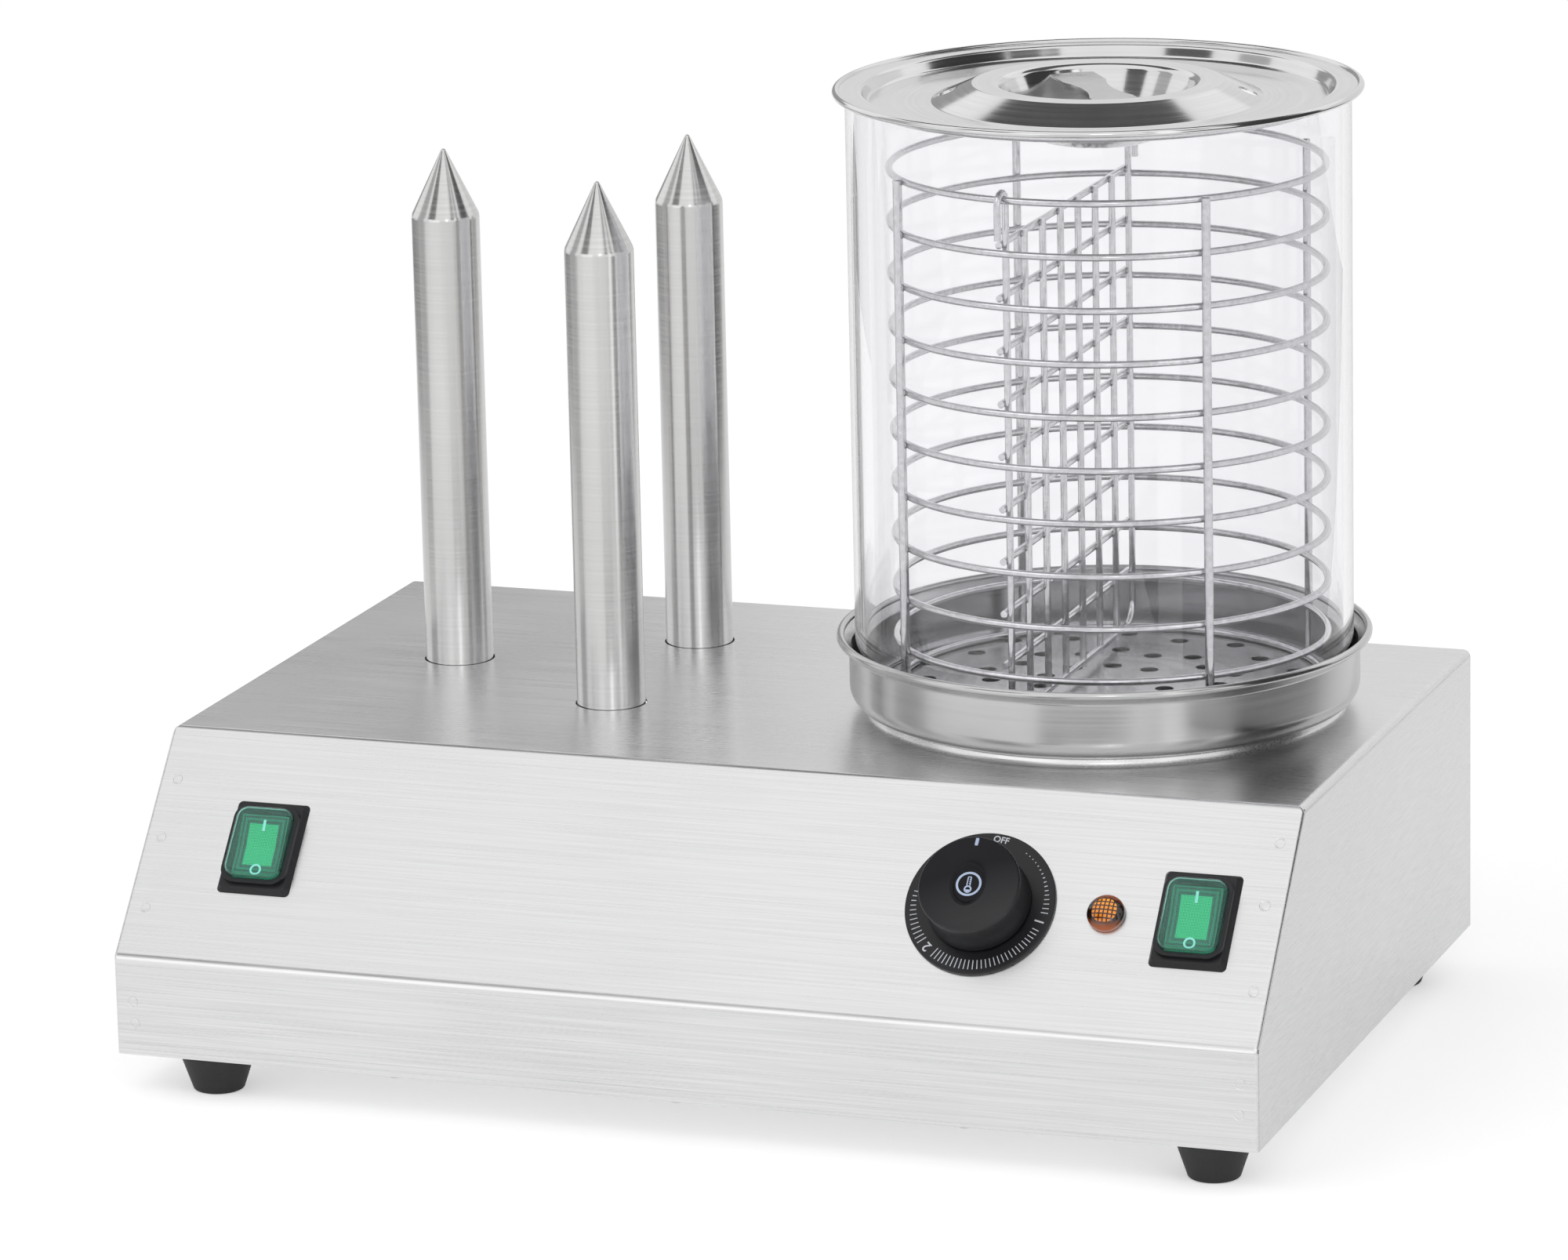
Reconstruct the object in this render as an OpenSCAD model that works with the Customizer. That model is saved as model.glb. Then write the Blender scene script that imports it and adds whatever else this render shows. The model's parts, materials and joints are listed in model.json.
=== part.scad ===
// Counter-top hot dog steamer: a sheet-metal casing with three heated bun
// spikes on the left and a glass steaming jar with a wire basket on the right.

/* [Casing] */
// Width of the casing
body_w = 472; // [440:1:600]
// Depth of the casing
body_d = 317; // [300:1:400]
// Height of the casing without its feet
body_h = 118; // [104:1:160]
// Height of the upright strip below the sloping front
strip_h = 40.5; // [32:0.5:50]
// How far the top of the sloping front lies behind the strip
slope_back = 67; // [54:1:82]
// Thickness of the casing sheet
sheet = 1; // [0.8:0.1:1.3]
// Outside radius of the folded top edges
fold_r = 3; // [2:0.5:5]
// Width of the lips that the rear panel and base plate screw to
lip_w = 9; // [8:0.5:10]
// Play around a panel that lies inside the casing
panel_fit = 0.4; // [0.2:0.1:0.6]

/* [Feet] */
// Height of a foot
foot_h = 16; // [12:1:24]
// Diameter of a foot at the casing
foot_top_d = 27; // [22:1:30]
// Diameter of a foot at the table
foot_bottom_d = 20; // [16:1:22]
// Foot centre to the left edge
foot_left = 36.5; // [24:0.5:60]
// Foot centre to the right edge
foot_right = 22; // [20:0.5:40]
// Foot centre to the front
foot_front = 16; // [15.5:0.5:30]
// Foot centre to the back
foot_rear = 36; // [24:1:60]

/* [Steamer] */
// Steamer axis to the right edge
steamer_right = 119; // [112:1:140]
// Steamer axis to the back
steamer_rear = 124; // [114:1:150]
// How far the raised boss reaches past the pan's flat floor
boss_over = 0.3; // [-2:0.1:1]
// Height of the boss above the top sheet
boss_h = 3.5; // [2:0.5:6]
// Outside diameter of the glass cylinder
glass_d = 200; // [166:1:240]
// Wall of the glass cylinder
glass_wall = 4; // [3:0.5:4.5]
// Length of the glass cylinder
glass_h = 244.4; // [200:0.2:300]
// Sheet thickness of the water pan
pan_wall = 1.2; // [0.8:0.1:1.5]
// Play between the glass and the pan's wall, on the radius
pan_play = 1.3; // [0.8:0.1:4]
// How far the pan's rolled rim flares past its wall
pan_flare = 5; // [4:0.5:9]
// Outside radius between the pan's floor and its wall
pan_corner = 8; // [4:0.5:10]
// Height of the water pan
pan_h = 29.5; // [22:0.5:40]
// Play between the steam plate and the glass, on the radius
plate_play = 4; // [2:0.5:8]
// Height of the steam plate's top above the pan floor
plate_h = 5.3; // [4.4:0.1:9]
// Diameter of the holes in the steam plate
plate_hole_d = 7.5; // [5:0.5:10]
// Gap between loose parts that rest on each other
rest_gap = 0.3; // [0.2:0.05:0.4]

/* [Basket] */
// Middle of the ring wire to the glass, on the radius
basket_play = 9.65; // [8.5:0.05:16]
// Diameter of the ring and divider wire
wire_d = 2.5; // [2:0.1:3]
// Diameter of the upright wires
upright_d = 3; // [2.5:0.1:3.5]
// Number of rings
ring_count = 11; // [8:1:13]
// Distance from one ring to the next
ring_pitch = 21.1; // [17:0.1:24]
// How far the basket sits to the right of the glass axis
basket_shift = 3.5; // [0:0.5:3.5]
// Direction of the first upright
upright_angle = 42; // [30:1:60]
// How deep crossing divider wires are welded into each other
weld_sink = 0.25; // [0.15:0.05:0.5]
// Gap between a ring and an upright, which the weld bead fills
weld_gap = 0.05; // [0.03:0.01:0.1]

/* [Divider] */
// Divider to the left of the basket axis
divider_left = 16; // [0:1:24]
// Outer divider wires to the ring that they hook over
hook_r = 4.85; // [4.6:0.05:6]
// Height of the lowest wire above the steam plate
divider_lift = 5; // [4:0.5:12]
// Number of level wires
level_count = 9; // [6:1:9]
// Distance from one level wire to the next
level_pitch = 21; // [17:0.5:21]
// Number of short uprights between the outer wires
short_count = 6; // [4:1:8]
// Length of a hook's outer leg
hook_leg = 13; // [8:1:18]
// How far the level wires stand out past the outer wires
level_over = 2; // [1:0.5:2]

/* [Lid] */
// How far the lid's rolled rim reaches past the glass
lid_over = 5; // [3:0.5:9]
// Sheet thickness of the lid
lid_wall = 0.8; // [0.6:0.1:1.2]
// Play between the lid's trough and the glass, on the radius
lid_play = 3.5; // [2.5:0.5:8]
// Depth of the trough below the flange
trough_h = 4.9; // [3:0.1:8]
// Radius of the foot of the raised ring
ring_foot_r = 65; // [58:1:72]
// Radius where the raised ring turns level
plateau_r = 50; // [46:1:56]
// Height of the raised ring above the flange
plateau_h = 1.9; // [1:0.1:6]
// Radius of the finger bowl's edge
bowl_r = 38.5; // [32:0.5:42]
// Depth of the finger bowl below the raised ring
bowl_h = 22; // [16:1:24]
// Width of the strap handle at its ends
strap_end_w = 18; // [15:0.5:22]
// Width of the strap handle at its middle
strap_mid_w = 12; // [10:0.5:14]
// Thickness of the strap handle
strap_t = 1.2; // [0.8:0.1:2]
// Direction of the strap handle
strap_angle = -56.3; // [-90:0.1:90]
// Diameter of the steam holes in the lid
steam_hole_d = 8; // [5:0.5:9]
// Direction of the first steam hole
steam_hole_angle = 13; // [0:1:90]

/* [Spikes] */
// First spike to the left edge
spike_left = 71; // [62:1:90]
// Row of spikes to the back, at its middle
spike_rear = 118; // [110:1:140]
// First spike to the pair beside it
spike_step = 87; // [72:1:100]
// Distance between the two spikes of the pair
spike_pair = 104; // [86:1:125]
// Diameter of a spike
spike_d = 27.9; // [22:0.1:34]
// Height of a spike's straight part above the casing
spike_h = 187.5; // [150:0.5:230]
// Height of a spike's point
spike_tip_h = 28; // [20:1:36]
// Gap around a spike in the casing
spike_gap = 0.6; // [0.4:0.1:1]
// Height of the spikes' mounting plate above the base plate
spike_seat_h = 43; // [36:1:55]

/* [Controls] */
// Dial centre to the right edge
dial_right = 120; // [110:1:140]
// Lamp centre to the right edge
lamp_right = 69.3; // [66:0.1:76]
// Right switch centre to the right edge
right_switch_right = 33.7; // [26:0.1:40]
// Left switch centre to the left edge
left_switch_left = 52.1; // [30:0.1:120]
// Height of the controls, measured up the slope
control_up = 51.2; // [40:0.1:60]
// Diameter of the dial plate
dial_d = 60; // [50:1:66]
// Thickness of the dial plate
dial_t = 1.6; // [1:0.1:2.5]
// Diameter of the knob's face
knob_d = 40.5; // [34:0.5:46]
// Height of the knob above the slope
knob_h = 20; // [16:0.5:26]
// Diameter of the control shaft
shaft_d = 6; // [5:0.5:8]
// Play of the control shaft in its bush, on the radius
shaft_fit = 0.05; // [0.02:0.01:0.09]
// Diameter of the lamp's lens
lamp_d = 15; // [12:0.5:18]
// Width of a switch frame
switch_w = 31; // [30:0.1:36]
// Height of a switch frame
switch_h = 40.4; // [39:0.1:46]
// Width of a rocker
rocker_w = 20; // [16:0.5:20]
// Length of a rocker
rocker_l = 26.4; // [22:0.2:26.4]
// Swing of a rocker from one end to the other
rocker_swing = 12; // [8:1:12]

/* [Heater] */
// Radius of the heating plate under the pan
heat_plate_r = 78; // [66:1:82]
// Thickness of the heating plate
heat_plate_t = 6; // [4:0.5:8]
// Radius of the heating element's ring
element_r = 55; // [48:1:62]
// Diameter of the heating element
element_d = 8; // [6.5:0.5:9]
// Thickness of the insulation pad
pad_t = 6; // [4:0.5:8]
// Thickness of the clamp plate
clamp_t = 2; // [1.5:0.5:3]
// Distance of the studs from the steamer axis
stud_ring_r = 30; // [26:1:36]

/* [Fasteners] */
// Diameter of the casing screws
screw_d = 3.5; // [3:0.1:4]
// Diameter of the foot and earth screws
bolt_d = 5; // [4:0.5:5]
// Play of a screw in its hole, on the radius
screw_fit = 0.1; // [0.05:0.05:0.2]

/* [Mains inlet] */
// Cable gland to the left edge, seen from the front
gland_left = 236; // [60:1:300]
// Height of the cable gland above the casing's bottom edge
gland_up = 30; // [24:1:60]
// Diameter of the gland's collar
gland_d = 20; // [16:1:24]
// Bore of the cable gland
gland_bore = 8; // [5:0.5:10]
// How far the gland stands out behind the casing
gland_out = 12; // [10:1:24]

/* [Hidden] */
$fn = 96;

body_top = foot_h + body_h;
strip_top = foot_h + strip_h;
slope_rise = body_h - strip_h;
slope_a = atan2(slope_back, slope_rise);
mid_y = (body_d + gland_out) / 2;
steamer_x = body_w - steamer_right;
steamer_y = body_d - steamer_rear;
boss_top = body_top + boss_h;
pan_floor = boss_top + pan_wall;
plate_top = pan_floor + plate_h;
first_ring_z = plate_top + rest_gap + wire_d / 2;
top_ring_z = first_ring_z + (ring_count - 1) * ring_pitch;
glass_r = glass_d / 2;
glass_polish = 0.8;
glass_inner_r = glass_r - glass_wall;
pan_r = glass_r + pan_play + pan_wall;
pan_rim_r = pan_r + pan_flare;
boss_r = pan_r - pan_corner + boss_over;
plate_r = glass_inner_r - plate_play;
ring_r = glass_inner_r - basket_play;
lid_r = glass_r + lid_over;
trough_r = glass_inner_r - lid_play;
glass_low = boss_top
    + max(pan_inside_z(glass_r - glass_polish), pan_inside_z(glass_r) - glass_polish);
glass_top = glass_low + glass_h;
lid_low = glass_top + rest_gap;
floor_z = foot_h + sheet;
seat_z = floor_z + spike_seat_h;
bracket_t = 3;
eps = 0.01;

spike_mid_y = body_d - spike_rear;
spike_spots = [
    [spike_left, spike_mid_y],
    [spike_left + spike_step, spike_mid_y - spike_pair / 2],
    [spike_left + spike_step, spike_mid_y + spike_pair / 2]
];
foot_spots = [
    [foot_left, foot_front],
    [body_w - foot_right, foot_front],
    [foot_left, body_d - foot_rear],
    [body_w - foot_right, body_d - foot_rear]
];
stud_spots = [for (i = [0:2]) stud_ring_r * [cos(90 + 120 * i), sin(90 + 120 * i)]];

// A point n in front of the sloping face, s up the slope from the strip
function slope_point(x, s, n) = [
    x,
    s * sin(slope_a) - n * cos(slope_a),
    strip_top + s * cos(slope_a) + n * sin(slope_a)
];

// Height above the boss at which a point at radius r clears the pan's rounded corner
function pan_inside_z(r) = let (past = max(0, r - pan_r + pan_corner))
    pan_corner - sqrt(pow(pan_corner - pan_wall - rest_gap, 2) - past * past);

// Points of a quarter turn or less about a centre
function arc(centre, r, from, to, steps = 8) = [
    for (i = [0:steps])
        let (a = from + (to - from) * i / steps)
        centre + r * [cos(a), sin(a)]
];

module placed() {
    translate([-body_w / 2, -mid_y, 0]) children();
}

module on_slope(x, s) {
    translate(slope_point(x, s, 0)) rotate([90 - slope_a, 0, 0]) children();
}

module at_steamer(z) {
    translate([steamer_x, steamer_y, z]) children();
}

module at_basket(z) {
    translate([steamer_x + basket_shift, steamer_y, z]) children();
}

module across_depth(y0, y1) {
    translate([0, y1, 0]) rotate([90, 0, 0]) linear_extrude(y1 - y0) children();
}

module rod(a, b, r) {
    v = b - a;
    translate(a)
        rotate([0, acos(v[2] / norm(v)), atan2(v[1], v[0])])
            cylinder(h = norm(v), r = r);
}

module bent_rod(points, r) {
    for (i = [0:len(points) - 2]) rod(points[i], points[i + 1], r);
    for (i = [1:len(points) - 2]) translate(points[i]) sphere(r + eps);
}

module tube(h, r, bore) {
    difference() {
        cylinder(h = h, r = r);
        translate([0, 0, -1]) cylinder(h = h + 2, r = bore);
    }
}

// Flat box with rounded upright corners, centred on its foot
module rounded_box(w, l, h, r) {
    linear_extrude(h) {
        square([w - 2 * r, l], center = true);
        square([w, l - 2 * r], center = true);
        for (x = [-1, 1]) for (y = [-1, 1])
            translate([x * (w / 2 - r), y * (l / 2 - r)]) circle(r);
    }
}

// Pan-head screw with its head on z = 0 and its shank pointing up
module pan_screw(d, length) {
    translate([0, 0, -0.6 * d]) cylinder(h = 0.6 * d, r = d);
    cylinder(h = length, r = d / 2);
}

module hex_nut(d) {
    difference() {
        cylinder(h = 0.8 * d, r = 0.92 * d, $fn = 6);
        translate([0, 0, -1]) cylinder(h = d + 2, r = d / 2);
    }
}

// Casing

module side_outline(inset, low) {
    polygon([
        [inset, low],
        [inset, strip_top - inset * tan(slope_a / 2)],
        [slope_back + inset * tan(45 - slope_a / 2), body_top - inset],
        [body_d + 1, body_top - inset],
        [body_d + 1, low]
    ]);
}

module front_outline(inset, low) {
    r = fold_r - inset;
    translate([inset + r, low]) square([body_w - 2 * (inset + r), body_top - inset - low]);
    translate([inset, low]) square([body_w - 2 * inset, body_top - inset - r - low]);
    for (x = [inset + r, body_w - inset - r])
        translate([x, body_top - inset - r]) circle(r);
}

module casing_solid(inset, low, back) {
    intersection() {
        rotate([90, 0, 90]) linear_extrude(body_w) side_outline(inset, low);
        across_depth(0, back) front_outline(inset, low);
    }
}

lip_mid = sheet + lip_w / 2;
rear_screw_spots = [
    for (x = [body_w / 8, body_w * 3 / 8, body_w * 5 / 8, body_w * 7 / 8])
        for (z = [floor_z + lip_mid, body_top - lip_mid]) [x, z]
];
base_screw_spots = concat(
    [for (x = [body_w / 4, body_w / 2, body_w * 3 / 4])
        for (y = [lip_mid, body_d - sheet - lip_mid]) [x, y]],
    [for (x = [lip_mid, body_w - lip_mid]) [x, body_d / 2]]
);

module switch_cut_outline() {
    square([switch_w - 4, switch_h - 4.4], center = true);
}

module casing_shell() {
    color("silver") difference() {
        union() {
            casing_solid(0, foot_h, body_d);
            at_steamer(body_top - sheet) rotate_extrude() polygon([
                [0, 0], [boss_r + 1, 0], [boss_r + 1, sheet], [boss_r, sheet],
                [boss_r, sheet + boss_h - 1], [boss_r - 1, sheet + boss_h], [0, sheet + boss_h]
            ]);
        }
        casing_solid(sheet, floor_z + sheet, body_d - 2 * sheet);
        at_steamer(body_top - 2 * sheet) cylinder(h = boss_h + sheet, r = boss_r - sheet);
        at_steamer(body_top - sheet) cylinder(h = boss_h + 2 * sheet, r = heat_plate_r + 2);
        across_depth(body_d - sheet, body_d + 1) front_outline(sheet, foot_h - 1);
        translate([sheet + lip_w, body_d - 3 * sheet, floor_z + sheet + lip_w])
            cube([body_w - 2 * (sheet + lip_w), 3 * sheet, body_h - 3 * sheet - 2 * lip_w]);
        translate([sheet, sheet, foot_h - 1])
            cube([body_w - 2 * sheet, body_d, sheet + 1]);
        translate([sheet + lip_w, sheet + lip_w, foot_h])
            cube([body_w - 2 * (sheet + lip_w), body_d - 3 * sheet - 2 * lip_w, 3 * sheet]);
        for (p = spike_spots)
            translate([p[0], p[1], body_top - 2 * sheet])
                cylinder(h = 3 * sheet, r = spike_d / 2 + spike_gap);
        for (x = [left_switch_left, body_w - right_switch_right])
            on_slope(x, control_up) translate([0, 0, -3])
                linear_extrude(6) switch_cut_outline();
        on_slope(body_w - lamp_right, control_up) translate([0, 0, -3])
            cylinder(h = 6, r = lamp_neck_r + screw_fit);
        on_slope(body_w - dial_right, control_up) translate([0, 0, -3]) {
            cylinder(h = 6, r = bush_r + screw_fit);
            for (x = [-1, 1]) translate([x * dial_screw_x, 0, 0])
                cylinder(h = 6, r = screw_d / 2 + screw_fit);
        }
        for (p = rear_screw_spots)
            translate([p[0], body_d + 1, p[1]]) rotate([90, 0, 0])
                cylinder(h = 5 * sheet, r = screw_d / 2 + screw_fit);
        for (p = base_screw_spots)
            translate([p[0], p[1], foot_h - 1])
                cylinder(h = 5 * sheet, r = screw_d / 2 + screw_fit);
    }
}

vent_w = 5;
vent_l = 34;
vent_pitch = 12;
vent_count = 8;

module vent_row(x, z) {
    for (i = [0:vent_count - 1])
        translate([x + i * vent_pitch, body_d - 2 * sheet, z])
            cube([vent_w, 3 * sheet, vent_l]);
}

module rear_panel() {
    low = foot_h;
    color("silver") difference() {
        across_depth(body_d - sheet, body_d) front_outline(sheet + panel_fit, low);
        for (x = [body_w / 8, body_w * 3 / 4 - vent_pitch])
            vent_row(x, foot_h + body_h / 2 - vent_l / 2);
        for (p = rear_screw_spots)
            translate([p[0], body_d + 1, p[1]]) rotate([90, 0, 0])
                cylinder(h = 3 * sheet, r = screw_d / 2 + screw_fit);
        translate([gland_left, body_d + 1, foot_h + gland_up]) rotate([90, 0, 0])
            cylinder(h = 3 * sheet, r = gland_thread_r + screw_fit);
    }
}

module base_plate() {
    inset = sheet + panel_fit;
    color("silver") difference() {
        translate([inset, inset, foot_h])
            cube([body_w - 2 * inset, body_d - inset - sheet - panel_fit, sheet]);
        for (i = [0:vent_count - 1])
            translate([body_w / 2 + 20 + i * vent_pitch, body_d / 2 - 80, foot_h - 1])
                cube([vent_w, 50, 3 * sheet]);
        for (p = base_screw_spots)
            translate([p[0], p[1], foot_h - 1])
                cylinder(h = 3 * sheet, r = screw_d / 2 + screw_fit);
        for (p = foot_spots)
            translate([p[0], p[1], foot_h - 1])
                cylinder(h = 3 * sheet, r = bolt_d / 2 + screw_fit);
        translate([earth_x, earth_y, foot_h - 1])
            cylinder(h = 3 * sheet, r = bolt_d / 2 + screw_fit);
    }
}

module casing_screws() {
    color("lightgray") for (p = rear_screw_spots)
        translate([p[0], body_d, p[1]]) rotate([90, 0, 0]) pan_screw(screw_d, 8);
}

module base_screws() {
    color("lightgray") for (p = base_screw_spots)
        translate([p[0], p[1], foot_h]) pan_screw(screw_d, 8);
}

// Feet

foot_edge = 1.5;
foot_well_r = bolt_d + 0.6;
foot_web = 6;

module foot(spot) {
    color("#202124") translate([spot[0], spot[1], 0]) difference() {
        rotate_extrude() polygon(concat(
            [[0, 0]],
            arc([foot_bottom_d / 2 - foot_edge, foot_edge], foot_edge, -90, 0, 6),
            [[foot_top_d / 2, foot_h - 1], [foot_top_d / 2 - 1, foot_h], [0, foot_h]]
        ));
        translate([0, 0, -1]) cylinder(h = foot_h + 2, r = bolt_d / 2 + screw_fit);
        translate([0, 0, -1]) cylinder(h = foot_h - foot_web + 1, r = foot_well_r);
    }
}

module foot_front_left() { foot(foot_spots[0]); }
module foot_front_right() { foot(foot_spots[1]); }
module foot_rear_left() { foot(foot_spots[2]); }
module foot_rear_right() { foot(foot_spots[3]); }

module foot_screws() {
    color("lightgray") for (p = foot_spots)
        translate([p[0], p[1], foot_h - foot_web])
            pan_screw(bolt_d, foot_web + sheet + 6);
}

module foot_nuts() {
    color("lightgray") for (p = foot_spots)
        translate([p[0], p[1], floor_z]) hex_nut(bolt_d);
}

// Water pan and heater

pan_bead_r = 1.6;

module water_pan() {
    flare_low = pan_h - 6;
    bead = [pan_rim_r - pan_bead_r, pan_h - pan_bead_r];
    color("gainsboro") at_steamer(boss_top) rotate_extrude() {
        polygon(concat(
            [[0, 0]],
            arc([pan_r - pan_corner, pan_corner], pan_corner, -90, 0),
            [[pan_r, flare_low], bead + [0, -pan_bead_r / 2], bead + [0, pan_bead_r / 2]],
            [[pan_r - pan_wall, flare_low + pan_wall]],
            arc([pan_r - pan_corner, pan_corner], pan_corner - pan_wall, 0, -90),
            [[0, pan_wall]]
        ));
        translate(bead) circle(pan_bead_r, $fn = 24);
    }
}

heat_plate_low = boss_top - heat_plate_t;
pad_top = heat_plate_low - element_d;
pad_low = pad_top - pad_t;
clamp_low = pad_low - clamp_t;
stud_d = 5;
bulb_r = 3;
bulb_half = 36;
capillary_r = 1.2;
capillary_x = bulb_half + 5;
cold_end_a = 8;

module stud_holes(low, h) {
    for (p = stud_spots)
        translate([p[0], p[1], low]) cylinder(h = h, r = stud_d / 2 + screw_fit);
}

module heating_plate() {
    color("#b8bcc0") at_steamer(heat_plate_low) difference() {
        cylinder(h = heat_plate_t, r = heat_plate_r);
        stud_holes(-1, heat_plate_t + 2);
    }
}

module heating_element() {
    r = element_d / 2;
    color("#5c5f63") at_steamer(heat_plate_low - r) {
        difference() {
            rotate_extrude() translate([element_r, 0]) circle(r);
            translate([0, 0, -element_d]) linear_extrude(2 * element_d) polygon([
                [0, 0],
                2 * element_r * [cos(-90 - cold_end_a), sin(-90 - cold_end_a)],
                2 * element_r * [cos(-90 + cold_end_a), sin(-90 + cold_end_a)]
            ]);
        }
        for (a = [-cold_end_a, cold_end_a]) rotate([0, 0, -90 + a])
            translate([element_r, 0, -pad_t - clamp_t - 14])
                cylinder(h = pad_t + clamp_t + 14, r = r);
        for (a = [-cold_end_a, cold_end_a]) rotate([0, 0, -90 + a])
            translate([element_r, 0, 0]) sphere(r + eps);
    }
}

module heater_passages(h) {
    stud_holes(-1, h + 2);
    for (a = [-cold_end_a, cold_end_a]) rotate([0, 0, -90 + a])
        translate([element_r, 0, -1]) cylinder(h = h + 2, r = element_d / 2 + 0.4);
    translate([-capillary_x, 0, -1]) cylinder(h = h + 2, r = capillary_r + 1);
}

module insulation_pad() {
    color("#e8e2d0") at_steamer(pad_low) difference() {
        cylinder(h = pad_t, r = heat_plate_r);
        heater_passages(pad_t);
    }
}

module clamp_plate() {
    color("silver") at_steamer(clamp_low) difference() {
        cylinder(h = clamp_t, r = heat_plate_r - 6);
        heater_passages(clamp_t);
    }
}

module heater_studs() {
    color("lightgray") at_steamer(clamp_low - 8) for (p = stud_spots)
        translate([p[0], p[1], 0]) cylinder(h = boss_top - clamp_low + 8, r = stud_d / 2);
}

module heater_nuts() {
    color("lightgray") at_steamer(clamp_low - 0.8 * stud_d) for (p = stud_spots)
        translate([p[0], p[1], 0]) hex_nut(stud_d);
}

// Thermostat, dial and knob

bush_r = 5;
dial_screw_x = 14;
thermostat_w = 40;
thermostat_l = 42;
thermostat_h = 24;
dial_x = body_w - dial_right;
knob_low = dial_t + 0.5;
knob_wall = 2.2;
hub_r = 6.5;
shaft_top = knob_h - 5;

module thermostat_body() {
    color("#8a8f94") on_slope(dial_x, control_up) difference() {
        union() {
            translate([-thermostat_w / 2, -thermostat_l / 2, -sheet - thermostat_h])
                cube([thermostat_w, thermostat_l, thermostat_h]);
            translate([0, 0, -sheet]) cylinder(h = sheet + dial_t, r = bush_r);
            for (x = [-1, 1]) translate([x * dial_screw_x, 0, -sheet])
                cylinder(h = sheet, r = screw_d / 2);
        }
        translate([0, 0, -sheet - 12])
            cylinder(h = 40, r = shaft_d / 2 + shaft_fit);
    }
}

module thermostat_bulb() {
    color("#b87333") at_steamer(heat_plate_low - bulb_r)
        translate([-bulb_half, 0, 0]) rotate([0, 90, 0]) cylinder(h = 2 * bulb_half, r = bulb_r);
}

module capillary_tube() {
    bulb_z = heat_plate_low - bulb_r;
    start = slope_point(dial_x - 8, control_up - 8, -sheet - thermostat_h);
    color("#b87333") bent_rod([
        start,
        start + [0, 14, -12],
        [steamer_x - capillary_x, steamer_y - heat_plate_r - 6, clamp_low - 30],
        [steamer_x - capillary_x, steamer_y, clamp_low - 12],
        [steamer_x - capillary_x, steamer_y, bulb_z],
        [steamer_x - bulb_half, steamer_y, bulb_z]
    ], capillary_r);
}

module control_shaft() {
    color("silver") on_slope(dial_x, control_up) difference() {
        translate([0, 0, -sheet - 11.5]) cylinder(h = shaft_top + sheet + 11.5, r = shaft_d / 2);
        translate([shaft_d / 2 - 1.5, -shaft_d / 2, knob_low + 1])
            cube([shaft_d, shaft_d, knob_h]);
    }
}

module dial_plate() {
    color("#1b1c1e") on_slope(dial_x, control_up) difference() {
        rotate_extrude() polygon([
            [0, 0], [dial_d / 2, 0], [dial_d / 2, dial_t - 0.5], [dial_d / 2 - 0.5, dial_t], [0, dial_t]
        ]);
        translate([0, 0, -1]) cylinder(h = dial_t + 2, r = bush_r + screw_fit);
    }
}

module control_knob() {
    r = knob_d / 2;
    dish_r = 9.5;
    dish_h = 1.2;
    color("#1b1c1e") on_slope(dial_x, control_up) difference() {
        rotate_extrude() polygon(concat(
            [[0, knob_low], [r + 0.4, knob_low], [r + 0.4, knob_low + 2]],
            [[r - 0.9, knob_low + 8], [r, knob_h - 3]],
            arc([r - 1.5, knob_h - 1.5], 1.5, 0, 90, 6),
            [[0, knob_h]]
        ));
        translate([0, 0, knob_low - 1]) tube(knob_h - knob_low - 4, r - knob_wall - 1, hub_r);
        translate([0, 0, knob_low - 1]) difference() {
            cylinder(h = shaft_top - knob_low + 1 + eps, r = shaft_d / 2 + shaft_fit);
            translate([shaft_d / 2 - 1.5 + shaft_fit, -shaft_d / 2, 2]) cube([shaft_d, shaft_d, knob_h]);
        }
        translate([0, 0, knob_h - dish_h]) rotate_extrude() polygon([
            [0, 0], [dish_r - 4, 0.2], [dish_r, dish_h], [dish_r, dish_h + 1], [0, dish_h + 1]
        ]);
    }
}

// Indicator lamp

lamp_neck_r = 6;
lamp_x = body_w - lamp_right;

module lamp_lens() {
    r = lamp_d / 2;
    color("#c8640f") on_slope(lamp_x, control_up) rotate_extrude() polygon(concat(
        [[0, 0], [r, 0]],
        arc([r - 2, 1.5], 2, 0, 60, 5),
        [[r * 0.55, 4.4], [0, 5]]
    ));
}

module lamp_body() {
    color("#2a2b2e") on_slope(lamp_x, control_up) {
        translate([0, 0, -22]) cylinder(h = 22, r = lamp_neck_r);
        translate([0, 0, -sheet - 5]) tube(5, lamp_neck_r + 2.5, lamp_neck_r);
        for (x = [-3, 3]) translate([x - 0.4, -2.4, -30]) cube([0.8, 4.8, 8]);
    }
}

// Jar: glass, steam plate, basket, divider and lid

module glass_cylinder() {
    edge = glass_polish;
    inner = glass_inner_r;
    color([0.8, 0.9, 0.92, 0.35]) at_steamer(glass_low) rotate_extrude() polygon([
        [inner, edge], [inner + edge, 0], [glass_r - edge, 0], [glass_r, edge],
        [glass_r, glass_h - edge], [glass_r - edge, glass_h],
        [inner + edge, glass_h], [inner, glass_h - edge]
    ]);
}

plate_t = 0.8;
plate_turn = 2;
hole_ray_count = 10;
hole_ray_angle = 64;
hole_far_step = 26.3;
hole_near_first = 46.2;

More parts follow.
